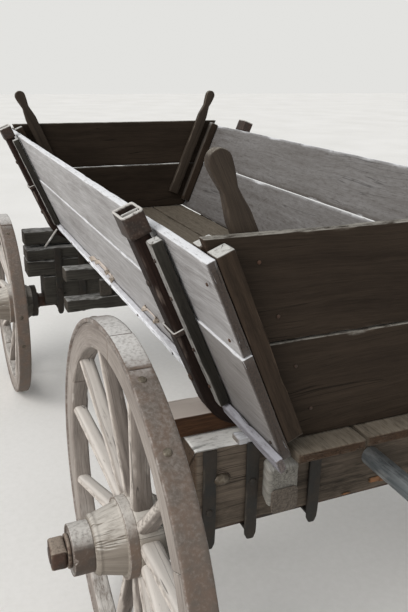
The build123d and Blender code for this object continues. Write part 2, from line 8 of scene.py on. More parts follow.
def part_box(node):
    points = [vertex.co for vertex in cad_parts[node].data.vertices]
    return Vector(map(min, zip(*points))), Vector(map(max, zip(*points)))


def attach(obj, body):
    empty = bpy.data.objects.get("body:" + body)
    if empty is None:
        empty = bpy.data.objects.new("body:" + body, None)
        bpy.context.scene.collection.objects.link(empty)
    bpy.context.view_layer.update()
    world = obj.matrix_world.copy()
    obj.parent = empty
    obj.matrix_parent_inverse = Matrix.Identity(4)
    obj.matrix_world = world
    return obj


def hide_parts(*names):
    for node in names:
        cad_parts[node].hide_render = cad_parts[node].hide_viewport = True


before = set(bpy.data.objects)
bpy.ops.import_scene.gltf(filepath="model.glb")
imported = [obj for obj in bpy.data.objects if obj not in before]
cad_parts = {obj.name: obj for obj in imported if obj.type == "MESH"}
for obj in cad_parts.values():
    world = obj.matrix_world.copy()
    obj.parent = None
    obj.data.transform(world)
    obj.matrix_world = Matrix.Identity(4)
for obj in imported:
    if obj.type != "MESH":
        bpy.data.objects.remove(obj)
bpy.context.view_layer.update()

join = np.concatenate
AHEAD, LEFT, UP = (1, 0, 0), (0, 1, 0), (0, 0, 1)
TURN = 2 * pi


def middle_x(node):
    """Middle of a CAD node along X."""
    low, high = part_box(node)
    return float((low[0] + high[0]) / 2)


# Sizes of the wagon in metres, as in the CAD model
REAR_X = middle_x("rear_axle_bar")
FRONT_X = middle_x("front_axle_bar")
REAR_R = 0.5
FRONT_R = 0.42
WHEEL_PLANE = 0.626
TYRE_WIDTH = 0.052
TYRE_THICK = 0.01
FELLOE_WIDTH = 0.048
FELLOE_DEPTH = 0.06
FELLOE_GAP = 0.0016
SPOKE_FOOT = 0.083
SPOKE_DISH = 0.036
BOLSTER_TOP = 0.76
SIDE_FOOT = 0.362
SIDE_THICK = 0.025
SIDE_RUN = 0.178
SIDE_RISE = 0.43
LEAN = atan2(SIDE_RUN, SIDE_RISE)
SLANT = hypot(SIDE_RUN, SIDE_RISE)
COS_LEAN = SIDE_RISE / SLANT
SIN_LEAN = SIDE_RUN / SLANT
TAN_LEAN = SIDE_RUN / SIDE_RISE
JOINT = SLANT * (1 - 0.434)
FLOOR_THICK = 0.025
FLOOR_GAP = 0.006
FLOOR_TOP = BOLSTER_TOP + FLOOR_THICK
BOX_REAR, BOX_FRONT = (float(corner[0]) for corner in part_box("left_upper_board"))
END_INSET = 0.046
END_THICK = 0.026
END_JOINT = FLOOR_TOP + 0.221
END_TOP = FLOOR_TOP + 0.437
HANDLE_THICK = 0.024
HANDLE_RISE = 0.111
REAR_STAKE_X = REAR_X + 0.05
FRONT_STAKE_X = FRONT_X + 0.005
STAKE_OUT = 0.047
STAKE_BEND = 0.125
STAKE_TOP = SLANT + 0.02
STAKES = [(index, x, side) for index, x in enumerate((REAR_STAKE_X, FRONT_STAKE_X)) for side in (1, -1)]
REACH_Z = 0.59
PIN_X = middle_x("pole_pin")
POLE_LENGTH = 2.65
POLE_BEHIND = 0.048
POLE_TIP = 0.034


def lattice(ix, iy, iz, seed):
    """Repeatable value from -1 to 1 at each whole-number point."""
    ix, iy, iz = (part.astype(np.int64) for part in (ix, iy, iz))
    n = (ix * 73856093) ^ (iy * 19349663) ^ (iz * 83492791)
    n = (n ^ (seed * 2654435761)) & 0xffffffff
    n = ((n ^ (n >> 15)) * 2246822519) & 0xffffffff
    n = ((n ^ (n >> 13)) * 1266489917) & 0xffffffff
    n = n ^ (n >> 16)
    return n / 2147483647.5 - 1


def noise(x, y, z, seed=1):
    """Smooth value noise from -1 to 1."""
    x, y, z = np.broadcast_arrays(x, y, z)
    fx, fy, fz = np.floor(x), np.floor(y), np.floor(z)
    tx, ty, tz = x - fx, y - fy, z - fz
    tx, ty, tz = (t * t * (3 - 2 * t) for t in (tx, ty, tz))
    total = 0
    for dx in (0, 1):
        wx = tx if dx else 1 - tx
        for dy in (0, 1):
            wy = ty if dy else 1 - ty
            for dz in (0, 1):
                wz = tz if dz else 1 - tz
                total = total + wx * wy * wz * lattice(fx + dx, fy + dy, fz + dz, seed)
    return total


def layered(x, y, z, seed=1):
    """Three layers of noise."""
    return (noise(x, y, z, seed) + 0.5 * noise(2 * x, 2 * y, 2 * z, seed + 1)
            + 0.25 * noise(4 * x, 4 * y, 4 * z, seed + 2)) / 1.5


def unit(v):
    v = np.asarray(v, float)
    return v / np.linalg.norm(v)


def outline(across, through, turns=3):
    """A rounded bar's outline: places on its flats, outward normals, and nearness to a corner."""
    rows = []
    corners = ((-1, 1), (1, 1), (1, -1), (-1, -1))
    normals = ((0, 1), (1, 0), (0, -1), (-1, 0))
    for index, parts in enumerate((across, through, across, through)):
        start, finish = corners[index], corners[(index + 1) % 4]
        normal, after = normals[index], normals[(index + 1) % 4]
        for step in range(parts + 1):
            t = step / parts
            near = 0.7 if step in (0, parts) else (0.21 if step in (1, parts - 1) and parts > 3 else 0)
            rows.append((start[0] + (finish[0] - start[0]) * t, start[1] + (finish[1] - start[1]) * t,
                         *normal, near))
        for turn in range(1, turns):
            angle = pi / 2 * turn / turns
            rows.append((*finish, normal[0] * cos(angle) + after[0] * sin(angle),
                         normal[1] * cos(angle) + after[1] * sin(angle), 1))
    return [np.array(column) for column in zip(*rows)]


def stations(length, step, edge):
    """Places along a bar, closer together at its rounded ends."""
    count = max(2, int(round((length - 2 * edge) / step)))
    middle = np.linspace(edge, length - edge, count + 1)
    return join([[0, 0.3 * edge], middle, [length - 0.3 * edge, length]])


def columns(*values):
    """Values side by side, as the coordinates of points."""
    return np.stack(values, -1)


def ring_faces(n, k):
    """Faces of a grid of n by k points that closes both ways."""
    index = np.arange(n * k).reshape(n, k)
    down = np.roll(index, -1, 0)
    return list(columns(index, np.roll(index, -1, 1), np.roll(down, -1, 1), down).reshape(-1, 4))


def fan(one, other, tip):
    """Triangles from a ring's points and their neighbours to one tip."""
    return list(columns(one, other, np.full(len(one), tip)))


def add(name, data):
    """A new object in the scene."""
    thing = bpy.data.objects.new(name, data)
    bpy.context.scene.collection.objects.link(thing)
    return thing


class Piece:
    """One visible piece in the making: its faces, and each point's place, grain, wear, end and facing."""

    def __init__(self):
        self.faces, self.rows = [], []
        self.count = 0

    def put(self, faces, points, grain, *rest):
        self.faces.extend((np.asarray(face) + self.count).tolist() for face in faces)
        self.rows.append((points.reshape(-1, 3), grain.reshape(-1, 3), *(row.reshape(-1) for row in rest)))
        self.count += len(self.rows[-1][0])

    def loft(self, centres, along, va, vb, ha, hb, seed, across, through, relief=0.0006, chips=0.003,
             rounding=0.003, turns=3, sway=0, edge=0.003, cap=0.0015):
        """A bar along a path: sections of half sizes ha by hb in the directions va and vb.

        After the sizes come the surface values: the seed of its noise, the parts across and through,
        the depth of the relief and the depth of the chips on its edges.
        """
        n = len(along)
        ca, cb, na, nb, near = outline(across, through, turns)
        k = len(ca)
        ha, hb = (np.broadcast_to(np.asarray(half, float), (n,))[:, None] for half in (ha, hb))
        va, vb = (np.broadcast_to(np.asarray(way, float), (n, 3))[:, None, :] for way in (va, vb))
        r = np.minimum(rounding, np.minimum(ha, hb) * 0.98)
        a = ca * (ha - r) + na * r
        b = cb * (hb - r) + nb * r
        g = (along[:, None] + 0 * a + 3.7 * seed, a + 1.3 * seed, b + 0.7 * seed)
        depth = relief * (0.5 + 0.5 * layered(g[0] * 5, g[1] * 85, g[2] * 85, seed))
        chip = np.clip(layered(g[0] * 13, g[1] * 20, g[2] * 20, seed + 7) - 0.12, 0, 1) * 2.2
        depth = depth + chips * near * chip
        if sway:
            depth = depth + sway * (0.5 + 0.5 * noise(g[0] * 2.1, g[1] * 6, g[2] * 6, seed + 3))
        to_end = np.minimum(along, along[-1] - along)[:, None]
        round_off = np.clip((edge - to_end) / edge, 0, 1)
        depth = depth + edge * (1 - np.sqrt(np.clip(1 - round_off ** 2, 0, 1))) * 0.8
        points = centres[:, None, :] + (a - na * depth)[..., None] * va + (b - nb * depth)[..., None] * vb
        wear = near * np.clip(0.35 + chip, 0, 1) + round_off * 0.5
        faces = ring_faces(n, k)[:(n - 1) * k]
        rows = [(points.reshape(-1, 3), np.stack(g, -1).reshape(-1, 3), wear.reshape(-1),
                 (round_off * 0.9 + 0 * a).reshape(-1), (nb + 0 * a).reshape(-1))]
        none, full = np.zeros(k), np.ones(k)
        base = n * k
        for row, beside in ((0, 1), (n - 1, n - 2)):
            centre = centres[row]
            inward = unit(centres[beside] - centre)
            last = np.arange(row * k, row * k + k)
            for scale in (0.8, 0.55, 0.3):
                grain = columns(g[0][row], a[row] * scale + 1.3 * seed, b[row] * scale + 0.7 * seed)
                dent = layered(grain[:, 1] * 42, grain[:, 2] * 42, grain[:, 0], seed + 11)
                ring = np.arange(base, base + k)
                faces.extend(columns(last, np.roll(last, -1), np.roll(ring, -1), ring))
                shrunk = centre + (points[row] - centre) * scale + inward * cap * (0.5 + 0.5 * dent[:, None])
                rows.append((shrunk, grain, none, full, none))
                base += k
                last = ring
            tip_grain = np.array([[g[0][row, 0], 1.3 * seed, 0.7 * seed]])
            rows.append(((centre + inward * cap * 0.5)[None], tip_grain, none[:1], full[:1], none[:1]))
            faces.extend(fan(last, np.roll(last, -1), base))
            base += 1
        self.put(faces, *(join(column) for column in zip(*rows)))

    def bar(self, start, direction, length, va, vb, ha, hb, *surface, step=0.02, **options):
        """A straight bar whose first end's middle is at start."""
        along = stations(length, step, options.get("edge", 0.003))
        centres = np.asarray(start, float) + along[:, None] * unit(direction)
        self.loft(centres, along, va, vb, ha, hb, *surface, **options)

    def block(self, low, high, *surface, **options):
        """A bar along Y that fills the box between two corners."""
        low, high = np.array(low, float), np.array(high, float)
        middle, half = (low + high) / 2, (high - low) / 2
        self.bar((middle[0], low[1], middle[2]), LEFT, 2 * half[1], AHEAD, UP, half[0], half[2], *surface,
                 **options)

    def turned(self, profile, place, spin=160, seed=1, relief=0.0005, cracks=(), notch=None, iron_like=True):
        """A round piece from a closed outline of (radius, y); place(x, y, z) puts it in the scene."""
        profile = np.asarray(profile, float)
        angle = np.linspace(0, TURN, spin, endpoint=False)[:, None]
        radius, y = (column[None, :] + 0 * angle for column in profile.T)
        cosine, sine = np.cos(angle) + 0 * y, np.sin(angle) + 0 * y
        lines = radius if iron_like else 0.08
        grain = columns(y + 1.9 * seed + 0.4 * radius, cosine * lines, sine * lines)
        depth = relief * (0.5 + 0.5 * layered(y * 14 + 5 * seed, cosine * 9, sine * 9, seed))
        for where, wide, deep, low, high in cracks:
            bent = where + 0.045 * np.sin(y * 120 + 7 * where)
            away = np.abs((angle - bent + pi) % TURN - pi) * radius
            depth = depth + deep * np.clip(1 - away / wide, 0, 1) * ((y > low) & (y < high))
        if notch:
            where, wide, deep, low, inner = notch
            away = np.abs((angle - where + pi) % TURN - pi)
            y = y - deep * np.clip(1.5 - away / wide, 0, 1) * (y > low) * (radius > inner)
        out = radius - depth
        steps = np.roll(profile, -1, 0) - profile
        steps = steps / np.linalg.norm(steps, axis=1)[:, None]
        corner = np.sum(steps * np.roll(steps, 1, 0), 1) < 0.9
        wear = corner * (0.6 + 0.25 * layered(cosine * 30, sine * 30, y * 40, seed))
        points = place(out * sine, y, out * cosine)
        self.put(ring_faces(*radius.shape), points, grain, wear, 0 * y, 0 * y)

    def dome(self, centre, normal, radius, height, seed=1, parts=12, flat=0, side=(0.31, 0.87, 0.39),
             oval=1):
        """A rounded bolt or nail head."""
        normal = unit(normal)
        other = unit(np.cross(normal, side))
        side = np.cross(other, normal) * oval
        angle = np.linspace(0, TURN, parts, endpoint=False)[:, None]
        ring = np.cos(angle) * side + np.sin(angle) * other
        rows = ((1, -0.3), (1, 0.15), (0.93, 0.5), (0.74, 0.8 - flat), (0.42, 0.96 - flat))
        points = [centre + ring * radius * scale + normal * height * up for scale, up in rows]
        points += [(centre + normal * height * up)[None] for up in (1 - flat, -0.3)]
        points = join(points)
        count = len(rows) * parts
        low, top = np.arange(parts), np.arange(count - parts, count)
        faces = ring_faces(len(rows), parts)[:count - parts]
        faces += fan(top, np.roll(top, -1), count) + fan(np.roll(low, -1), low, count + 1)
        self.put(faces, points, points + seed, *np.zeros((3, len(points))))

    def wear(self, node, material, slot=None, body="chassis"):
        """Builds the worn form of a CAD node."""
        self.build(f"{node}_worn", material, slot, node, body)

    def build(self, name, material, slot=None, node=None, body="chassis"):
        """Makes the object on its body; the slot argument is not used."""
        points, grain, *rest = (join(column) for column in zip(*self.rows))
        mesh = bpy.data.meshes.new(name)
        mesh.from_pydata(points.tolist(), [], self.faces)
        layer = mesh.attributes.new("grain", "FLOAT_VECTOR", "POINT")
        layer.data.foreach_set("vector", grain.astype(np.float32).ravel())
        for label, values in zip(("wear", "ends", "facing"), rest):
            layer = mesh.attributes.new(label, "FLOAT", "POINT")
            layer.data.foreach_set("value", values.astype(np.float32))
        shape = bmesh.new()
        shape.from_mesh(mesh)
        bmesh.ops.recalc_face_normals(shape, faces=shape.faces)
        shape.to_mesh(mesh)
        shape.free()
        mesh.polygons.foreach_set("use_smooth", [True] * len(mesh.polygons))
        mesh.materials.append(materials[material])
        thing = add(name, mesh)
        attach(thing, body)
        if node:
            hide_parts(node)


def linear(colour, share=1):
    """A colour read as 0 to 255, in the shader's own scale, made darker by a share."""
    return tuple((((c / 255 + 0.055) / 1.055) ** 2.4 if c > 10 else c / 255 / 12.92) * share
                 for c in colour) + (1,)


class Nodes:
    """The nodes of a material or of the world in the making."""

    def __init__(self, owner):
        self.owner = owner
        owner.use_nodes = True
        self.tree = owner.node_tree
        self.tree.nodes.clear()

    def node(self, kind, inputs=(), output=0, **settings):
        """A node with its inputs set or linked; gives its output."""
        node = self.tree.nodes.new("ShaderNode" + kind)
        for key, value in settings.items():
            setattr(node, key, value)
        for key, value in dict(inputs).items():
            if isinstance(value, bpy.types.NodeSocket):
                self.tree.links.new(value, node.inputs[key])
            else:
                node.inputs[key].default_value = value
        return node.outputs[output] if len(node.outputs) else None

    def attribute(self, name, output="Fac"):
        return self.node("Attribute", output=output, attribute_name=name)

    def math(self, operation, a, b=0):
        return self.node("Math", {0: a, 1: b}, operation=operation)

    def times(self, a, b):
        return self.math("MULTIPLY", a, b)

    def plus(self, a, b):
        return self.math("ADD", a, b)

    def minus(self, a, b):
        return self.math("SUBTRACT", a, b)

    def noise(self, vector, along, across, detail=4, roughness=0.55):
        """Noise of one scale along the first axis and another across it."""
        scaled = self.node("VectorMath", {0: vector, 1: (along, across, across)}, operation="MULTIPLY")
        inputs = {"Vector": scaled, "Scale": 1, "Detail": detail, "Roughness": roughness}
        return self.node("TexNoise", inputs)

    def band(self, value, low, high):
        return self.node("MapRange", {0: value, 1: low, 2: high}, interpolation_type="SMOOTHSTEP")

    def span(self, value, low, high):
        return self.node("MapRange", {0: value, 3: low, 4: high})

    def mix(self, factor, a, b):
        a, b = (linear(c) if isinstance(c, tuple) and len(c) == 3 else c for c in (a, b))
        return self.node("Mix", {0: factor, 6: a, 7: b}, 2, data_type="RGBA")

    def part(self, vector, axis):
        return self.node("SeparateXYZ", {0: vector}, axis)

    def up(self):
        return self.part(self.node("NewGeometry", output="Normal"), 2)

    def bump(self, height, distance, strength):
        return self.node("Bump", {"Distance": distance, "Strength": strength, "Height": height})

    def surface(self, inputs):
        self.node("OutputMaterial", {0: self.node("BsdfPrincipled", inputs)})
        return self.owner


materials = {}


def wood(name, dark, pale, worn, dust_and_highlight, dust_and_highlight_share, end=None, marks=(1.1, 0.8, 0.9, 0.8), rough=(0.62, 0.85),
         depth=0.0012, inner=None, outer=None, gloss=0.3, patch=(0.3, 0.62), grime_and_shade=None,
         lit_face_band=(0.3, 0.9)):
    """Old bare timber; marks are the shares of streaks, fibres and stains in its tone, and of its cracks."""
    streaks, fibres, stains, cracks = marks
    m = Nodes(bpy.data.materials.new(name))
    place = m.attribute("grain", "Vector")
    shift = m.node("CombineXYZ", {1: m.times(m.minus(m.noise(place, 2.6, 9, 2), 0.5), 0.05)})
    grain = m.node("VectorMath", {0: place, 1: shift}, operation="ADD")
    streak = m.noise(grain, 1.6, 75, 6, 0.62)
    fibre = m.noise(grain, 16, 620, 3, 0.6)
    stain = m.noise(grain, 3.2, 8, 5, 0.6)
    tone = 0.5
    for source, share in ((streak, streaks), (fibre, fibres), (stain, stains)):
        tone = m.plus(m.times(m.minus(source, 0.5), share), tone)
    colour = m.mix(m.band(tone, 0, 1), dark, pale)
    away = m.math("ABSOLUTE", m.minus(m.noise(grain, 0.9, 42, 2, 0.4), 0.5))
    crack = m.times(m.minus(1, m.band(away, 0.002, 0.011)), m.band(stain, 0.48, 0.6))
    mottle = m.noise(grain, 30, 90, 5, 0.68)
    facing = m.attribute("facing")
    # Darker towards one end along an object axis: painted shade with grease at the inner end of the nave,
    # painted shade at the rear part of the lower planks
    if grime_and_shade:
        axis, plain_at, darkest_at, grime_and_shade_colour = grime_and_shade
        distance = m.math("ABSOLUTE", m.part(m.node("TexCoord", output="Object"), axis))
        near = m.band(distance, plain_at, darkest_at)
        colour = m.mix(m.times(near, m.span(stain, 0.3, 0.9)), colour, grime_and_shade_colour)
    # Painted shade: the inner faces, marked by the facing attribute, darker
    if inner:
        colour = m.mix(m.times(m.band(facing, -0.3, -0.9), m.span(mottle, 1, 0.6)), colour, inner)
    # Painted light: the outer faces, marked by the facing attribute, paler, as if lit
    if outer:
        colour = m.mix(m.times(m.band(facing, *lit_face_band), m.band(mottle, 0.25, 0.6)), colour, outer)
    colour = m.mix(m.band(m.times(m.attribute("wear"), m.span(mottle, 0.1, 1.9)), 0.4, 1.1), colour, worn)
    if end:
        pores = m.band(m.noise(grain, 1, 210, 4, 0.7), 0.35, 0.65)
        colour = m.mix(m.attribute("ends"), colour, m.mix(pores, linear(end, 0.5), end))
    # Dust and painted highlight: up-facing faces paler in patches
    patchy = m.band(m.plus(mottle, m.times(m.minus(fibre, 0.5), 0.5)), *patch)
    top = m.times(m.band(m.up(), 0.3, 0.85), patchy)
    colour = m.mix(m.times(top, dust_and_highlight_share), colour, dust_and_highlight)
    colour = m.mix(m.times(crack, cracks), colour, linear(dark, 0.22))
    height = m.minus(m.plus(m.times(streak, 0.6), m.times(fibre, 0.4)), m.times(crack, 0.8))
    materials[name] = m.surface({
        "Base Color": colour, "Roughness": m.span(mottle, *rough), "Specular IOR Level": gloss,
        "Normal": m.bump(height, depth, 0.9)})


def iron(name, base, rust, pale, worn, rust_share=0.55, pale_share=0.35, metal=0.35, rough=(0.45, 0.8),
         fine=1, own_grain=True, dust_and_highlight=None, dust_and_highlight_from=0.5):
    """Forged iron: dark scale, brown rust, dusty patches, dust and painted highlight on up-facing faces, and
    rubbed edges.
    """
    m = Nodes(bpy.data.materials.new(name))
    place = m.attribute("grain", "Vector") if own_grain else m.node("TexCoord", output="Object")
    patch = m.noise(place, 16 * fine, 16 * fine, 5, 0.6)
    speck = m.noise(place, 90 * fine, 90 * fine, 5, 0.65)
    pits = m.noise(place, 260, 260, 3, 0.6)
    colour = m.mix(m.times(m.band(patch, 0.38, 0.62), rust_share), base, rust)
    colour = m.mix(m.times(m.band(speck, 0.5, 0.72), pale_share), colour, pale)
    # Dust and painted highlight: up-facing faces paler
    top = m.times(m.band(m.up(), 0.4, 0.95), m.band(speck, 0.35, 0.65))
    colour = m.mix(m.times(top, 0.45), colour, pale)
    if own_grain:
        rubbed = m.times(m.attribute("wear"), m.span(speck, 0.2, 1.8))
        colour = m.mix(m.band(rubbed, 0.35, 0.95), colour, worn)
    # More dust and painted highlight on the most up-facing faces
    if dust_and_highlight:
        dust_and_highlight_mask = m.times(m.band(m.up(), dust_and_highlight_from, 1), m.band(speck, 0.1, 0.6))
        colour = m.mix(dust_and_highlight_mask, colour, dust_and_highlight)
    height = m.plus(m.times(speck, 0.7), m.times(pits, 0.3))
    materials[name] = m.surface({
        "Base Color": colour, "Roughness": m.span(patch, *rough), "Metallic": metal,
        "Normal": m.bump(height, 0.0012, 0.7)})


# Woods: dark, pale, worn and dust colours (dust with a painted highlight on up-facing faces), the share of
# dust, and the colour of the ends
wood("wheel_wood", (100, 90, 83), (164, 155, 147), (194, 186, 178), (216, 211, 204), 0.7, (120, 104, 90),
     marks=(0.6, 0.8, 1.1, 0.6))
# The spokes' outer faces are paler: painted highlight
wood("spoke_wood", (72, 64, 58), (140, 130, 122), (160, 151, 143), (214, 207, 199), 0.9, (140, 126, 112),
     marks=(0.9, 0.5, 1.2, 0.6), outer=(198, 189, 180), patch=(0.1, 0.4), lit_face_band=(0.66, 0.98))
# The inner end of the nave is darker: painted shade with grease
wood("nave_wood", (80, 70, 61), (146, 137, 126), (166, 157, 146), (206, 200, 191), 0.8,
     marks=(0.6, 0.5, 0.9, 0.7), depth=0.0014, patch=(0.15, 0.6), grime_and_shade=(1, 0.58, 0.552, (44, 48, 46)))
# The planks' inner faces are darker: painted shade
PLANK = dict(marks=(0.9, 1.3, 1, 0.6), rough=(0.42, 0.62), inner=(62, 55, 48), patch=(0.2, 0.5))
wood("grey_planks", (118, 113, 111), (186, 184, 184), (206, 205, 206), (222, 222, 224), 0.95, (58, 45, 36),
     gloss=0.5, **PLANK)
# The rear part of the lower planks is darker: painted shade
wood("lower_planks", (118, 113, 111), (188, 186, 186), (206, 205, 206), (222, 222, 224), 0.95, (58, 45, 36),
     gloss=0.45, grime_and_shade=(0, 1.69, 2.14, (104, 98, 93)), **PLANK)
wood("rail_wood", (96, 92, 96), (158, 156, 162), (178, 176, 182), (172, 171, 177), 0.8, (110, 100, 96),
     marks=(1.4, 1.2, 0.9, 0.9), patch=(0.25, 0.55))
# Outer faces of the pale rails and tops of the timber lips near white: painted highlight
wood("pale_wood", (150, 148, 150), (204, 204, 207), (214, 214, 218), (208, 208, 212), 0.6, (150, 142, 134),
     marks=(0.6, 0.8, 0.9, 0.6), outer=(244, 245, 249))
wood("floor_planks", (60, 53, 45), (114, 104, 91), (138, 126, 110), (127, 118, 105), 0.5, (70, 53, 40),
     gloss=0.15)
wood("dark_planks", (32, 25, 19), (60, 50, 41), (80, 70, 61), (158, 153, 144), 0.85, (60, 46, 36),
     marks=(0.7, 0.8, 0.9, 0.6), rough=(0.6, 0.85), gloss=0.1)
wood("batten_wood", (34, 27, 21), (66, 54, 44), (88, 74, 62), (198, 196, 191), 0.95, (120, 112, 104),
     marks=(0.8, 0.8, 0.9, 0.7), rough=(0.6, 0.85), gloss=0.1, patch=(0.2, 0.5))
wood("paddle_wood", (40, 32, 26), (70, 60, 50), (96, 86, 75), (140, 134, 124), 0.7, (96, 84, 72),
     marks=(1.1, 0.8, 0.9, 0.6), rough=(0.5, 0.8), gloss=0.2)
# The cleats' outer faces are paler: painted highlight
wood("cleat_wood", (28, 26, 23), (58, 55, 50), (116, 112, 107), (196, 194, 190), 0.95, (110, 104, 96),
     marks=(1.1, 0.8, 0.9, 0.7), outer=(150, 147, 143), gloss=0.1, patch=(0.2, 0.5))
wood("stake_wood", (21, 14, 11), (48, 35, 30), (112, 100, 92), (110, 100, 92), 0.5, (58, 42, 33),
     marks=(1.1, 0.8, 0.9, 0.5), rough=(0.5, 0.75), gloss=0.1)
wood("gear_timber", (40, 35, 29), (110, 98, 86), (132, 123, 111), (240, 238, 233), 1, (84, 68, 54),
     marks=(1.1, 0.8, 1.8, 0.65), depth=0.0018, gloss=0.15, patch=(0.15, 0.5))
wood("front_timber", (34, 31, 28), (76, 73, 67), (112, 109, 103), (164, 163, 160), 0.9, (76, 70, 63),
     marks=(1.1, 0.8, 0.9, 0.9), depth=0.0018, gloss=0.15)
wood("bolster_wood", (34, 22, 15), (90, 62, 42), (108, 88, 72), (206, 194, 184), 1, (66, 47, 35),
     marks=(1.1, 0.8, 0.9, 0.3), depth=0.0014, gloss=0.15, patch=(0.05, 0.35))
wood("hound_wood", (110, 106, 98), (182, 178, 170), (196, 192, 184), (190, 188, 182), 0.8, (136, 132, 124),
     depth=0.002, gloss=0.2)
wood("pole_wood", (56, 60, 62), (120, 125, 127), (140, 141, 140), (150, 153, 154), 0.6, (110, 92, 74),
     marks=(0.7, 0.8, 0.9, 0.8), rough=(0.5, 0.7))
wood("torn_wood", (176, 162, 150), (222, 210, 201), (240, 233, 224), (226, 216, 206), 0.5, (190, 176, 160))
wood("worn_end", (76, 68, 60), (118, 107, 97), (130, 122, 112), (140, 134, 126), 0.3, (106, 97, 88),
     gloss=0.15)

# Irons: scale, rust, pale and worn colours, then the shares of rust and pale patches
iron("tyre_iron", (92, 82, 74), (110, 89, 75), (136, 128, 121), (150, 142, 136), 0.5, 0.35, 0.1, (0.6, 0.85),
     1.6, dust_and_highlight=(216, 213, 209), dust_and_highlight_from=0.93)
iron("dark_iron", (27, 25, 21), (50, 40, 31), (58, 53, 45), (66, 60, 51), 0.6, 0.3, 0.1, (0.6, 0.9))
iron("nut_iron", (50, 38, 31), (84, 56, 41), (102, 88, 76), (128, 114, 100), 0.65, 0.5, 0.2, fine=2,
     dust_and_highlight=(150, 137, 124))
iron("stake_iron", (46, 36, 31), (72, 52, 41), (108, 98, 90), (200, 196, 191), 0.45, 0.35, fine=2)
iron("band_iron", (100, 90, 82), (118, 96, 80), (146, 138, 130), (160, 152, 144), 0.5, 0.4, 0.15, fine=1.5,
     dust_and_highlight=(204, 199, 192))
iron("cap_iron", (74, 65, 58), (92, 74, 62), (122, 113, 105), (136, 127, 119), 0.5, 0.35, 0.2, fine=1.5,
     dust_and_highlight=(206, 202, 196))
iron("plain_iron", (44, 37, 32), (92, 60, 40), (104, 94, 86), (120, 110, 100), 0.6, 0.3, own_grain=False)
# Near-white iron for the stake rods and socket plates: painted light, as if lit
iron("painted_lit_rod_iron", (168, 165, 160), (178, 168, 158), (212, 210, 206), (222, 220, 216), 0.3, 0.6, 0.1)
iron("bolt_iron", (74, 66, 56), (96, 82, 66), (150, 142, 126), (156, 148, 134), 0.5, 0.4, 0.4, (0.35, 0.6))
iron("rust_iron", (92, 66, 44), (142, 94, 54), (124, 104, 80), (134, 112, 86), 0.7, 0.3, 0.1)


def lean_point(out, up, side=1):
    """(y, z) out of a side's outer face and up its slope."""
    return side * (SIDE_FOOT + out * COS_LEAN + up * SIN_LEAN), BOLSTER_TOP - out * SIN_LEAN + up * COS_LEAN


def lean_axes(side):
    """Directions out of a side's outer face and up its slope."""
    return np.array([0, side * COS_LEAN, -SIN_LEAN]), np.array([0, side * SIN_LEAN, COS_LEAN])


def lean_bar(piece, x_low, x_high, out_low, out_high, up_low, up_high, side, *surface, grain_up=False,
             **options):
    """A bar in a leaning side's own frame, its grain along X or up the slope."""
    out, up = lean_axes(side)
    half_x, half_out, half_up = (x_high - x_low) / 2, (out_high - out_low) / 2, (up_high - up_low) / 2
    y, z = lean_point(out_low + half_out, up_low if grain_up else up_low + half_up, side)
    if grain_up:
        piece.bar((x_low + half_x, y, z), up, 2 * half_up, AHEAD, out, half_x, half_out, *surface, **options)
    else:
        piece.bar((x_low, y, z), AHEAD, 2 * half_x, up, out, half_up, half_out, *surface, **options)


def mm(*points):
    """Outline points written in millimetres."""
    return [(radius / 1000, y / 1000) for radius, y in points]


NAVE_OUTLINE = mm(
    (26.2, -120), (66, -120), (69.5, -117), (70, -96), (76, -85), (81.5, -77), (85.8, -70.5), (94.5, -69.8),
    (95, -66), (95, -41), (95, -17), (94.3, -12.4), (87, -12), (87, 0), (86.8, 11.8), (81.5, 12.5),
    (80.8, 16), (79, 22), (76.5, 31), (73.8, 41), (71.1, 51), (68.4, 61), (67.2, 64), (68.2, 67), (68, 71),
    (65, 74.5), (62, 78), (26.2, 78))
BAND_OUTLINE = mm(
    (86.8, -11.8), (91.4, -11.8), (92, -11), (92, -9.5), (92, 0), (92, 9.3), (92, 10.8), (91.2, 11.8),
    (86.8, 11.8))
INNER_BAND_OUTLINE = mm(
    (70, -119.8), (74.5, -119.8), (75, -118.8), (75, -117), (75, -107), (75, -98.5), (75, -97),
    (74.5, -96.2), (70, -96.2))
CAP_OUTLINE = mm(
    (26.5, 78.1), (56, 78.1), (57, 79), (57, 80.5), (57, 95), (56.8, 110), (56.8, 120.5), (56.8, 122.5),
    (56, 123.7), (53.5, 123.8), (52.6, 122.8), (52.4, 119.5), (40, 119), (39.6, 123), (26.5, 123.6))
WASHER_OUTLINE = mm((25.3, 750.6), (37, 750.6), (38, 751.6), (38, 757), (37, 758.4), (25.3, 758.4))
THREAD_OUTLINE = mm((0, 785), (16.5, 785), (17.8, 793.4), (16.5, 794.2), (0, 794.2))
FERRULE_OUTLINE = mm((0, 2650.5), (28, 2650), (32.5, 2648), (34, 2643), (34, 2505), (32.5, 2500.5),
                     (28.5, 2500.5), (28.5, 2638.5), (0, 2638.5))


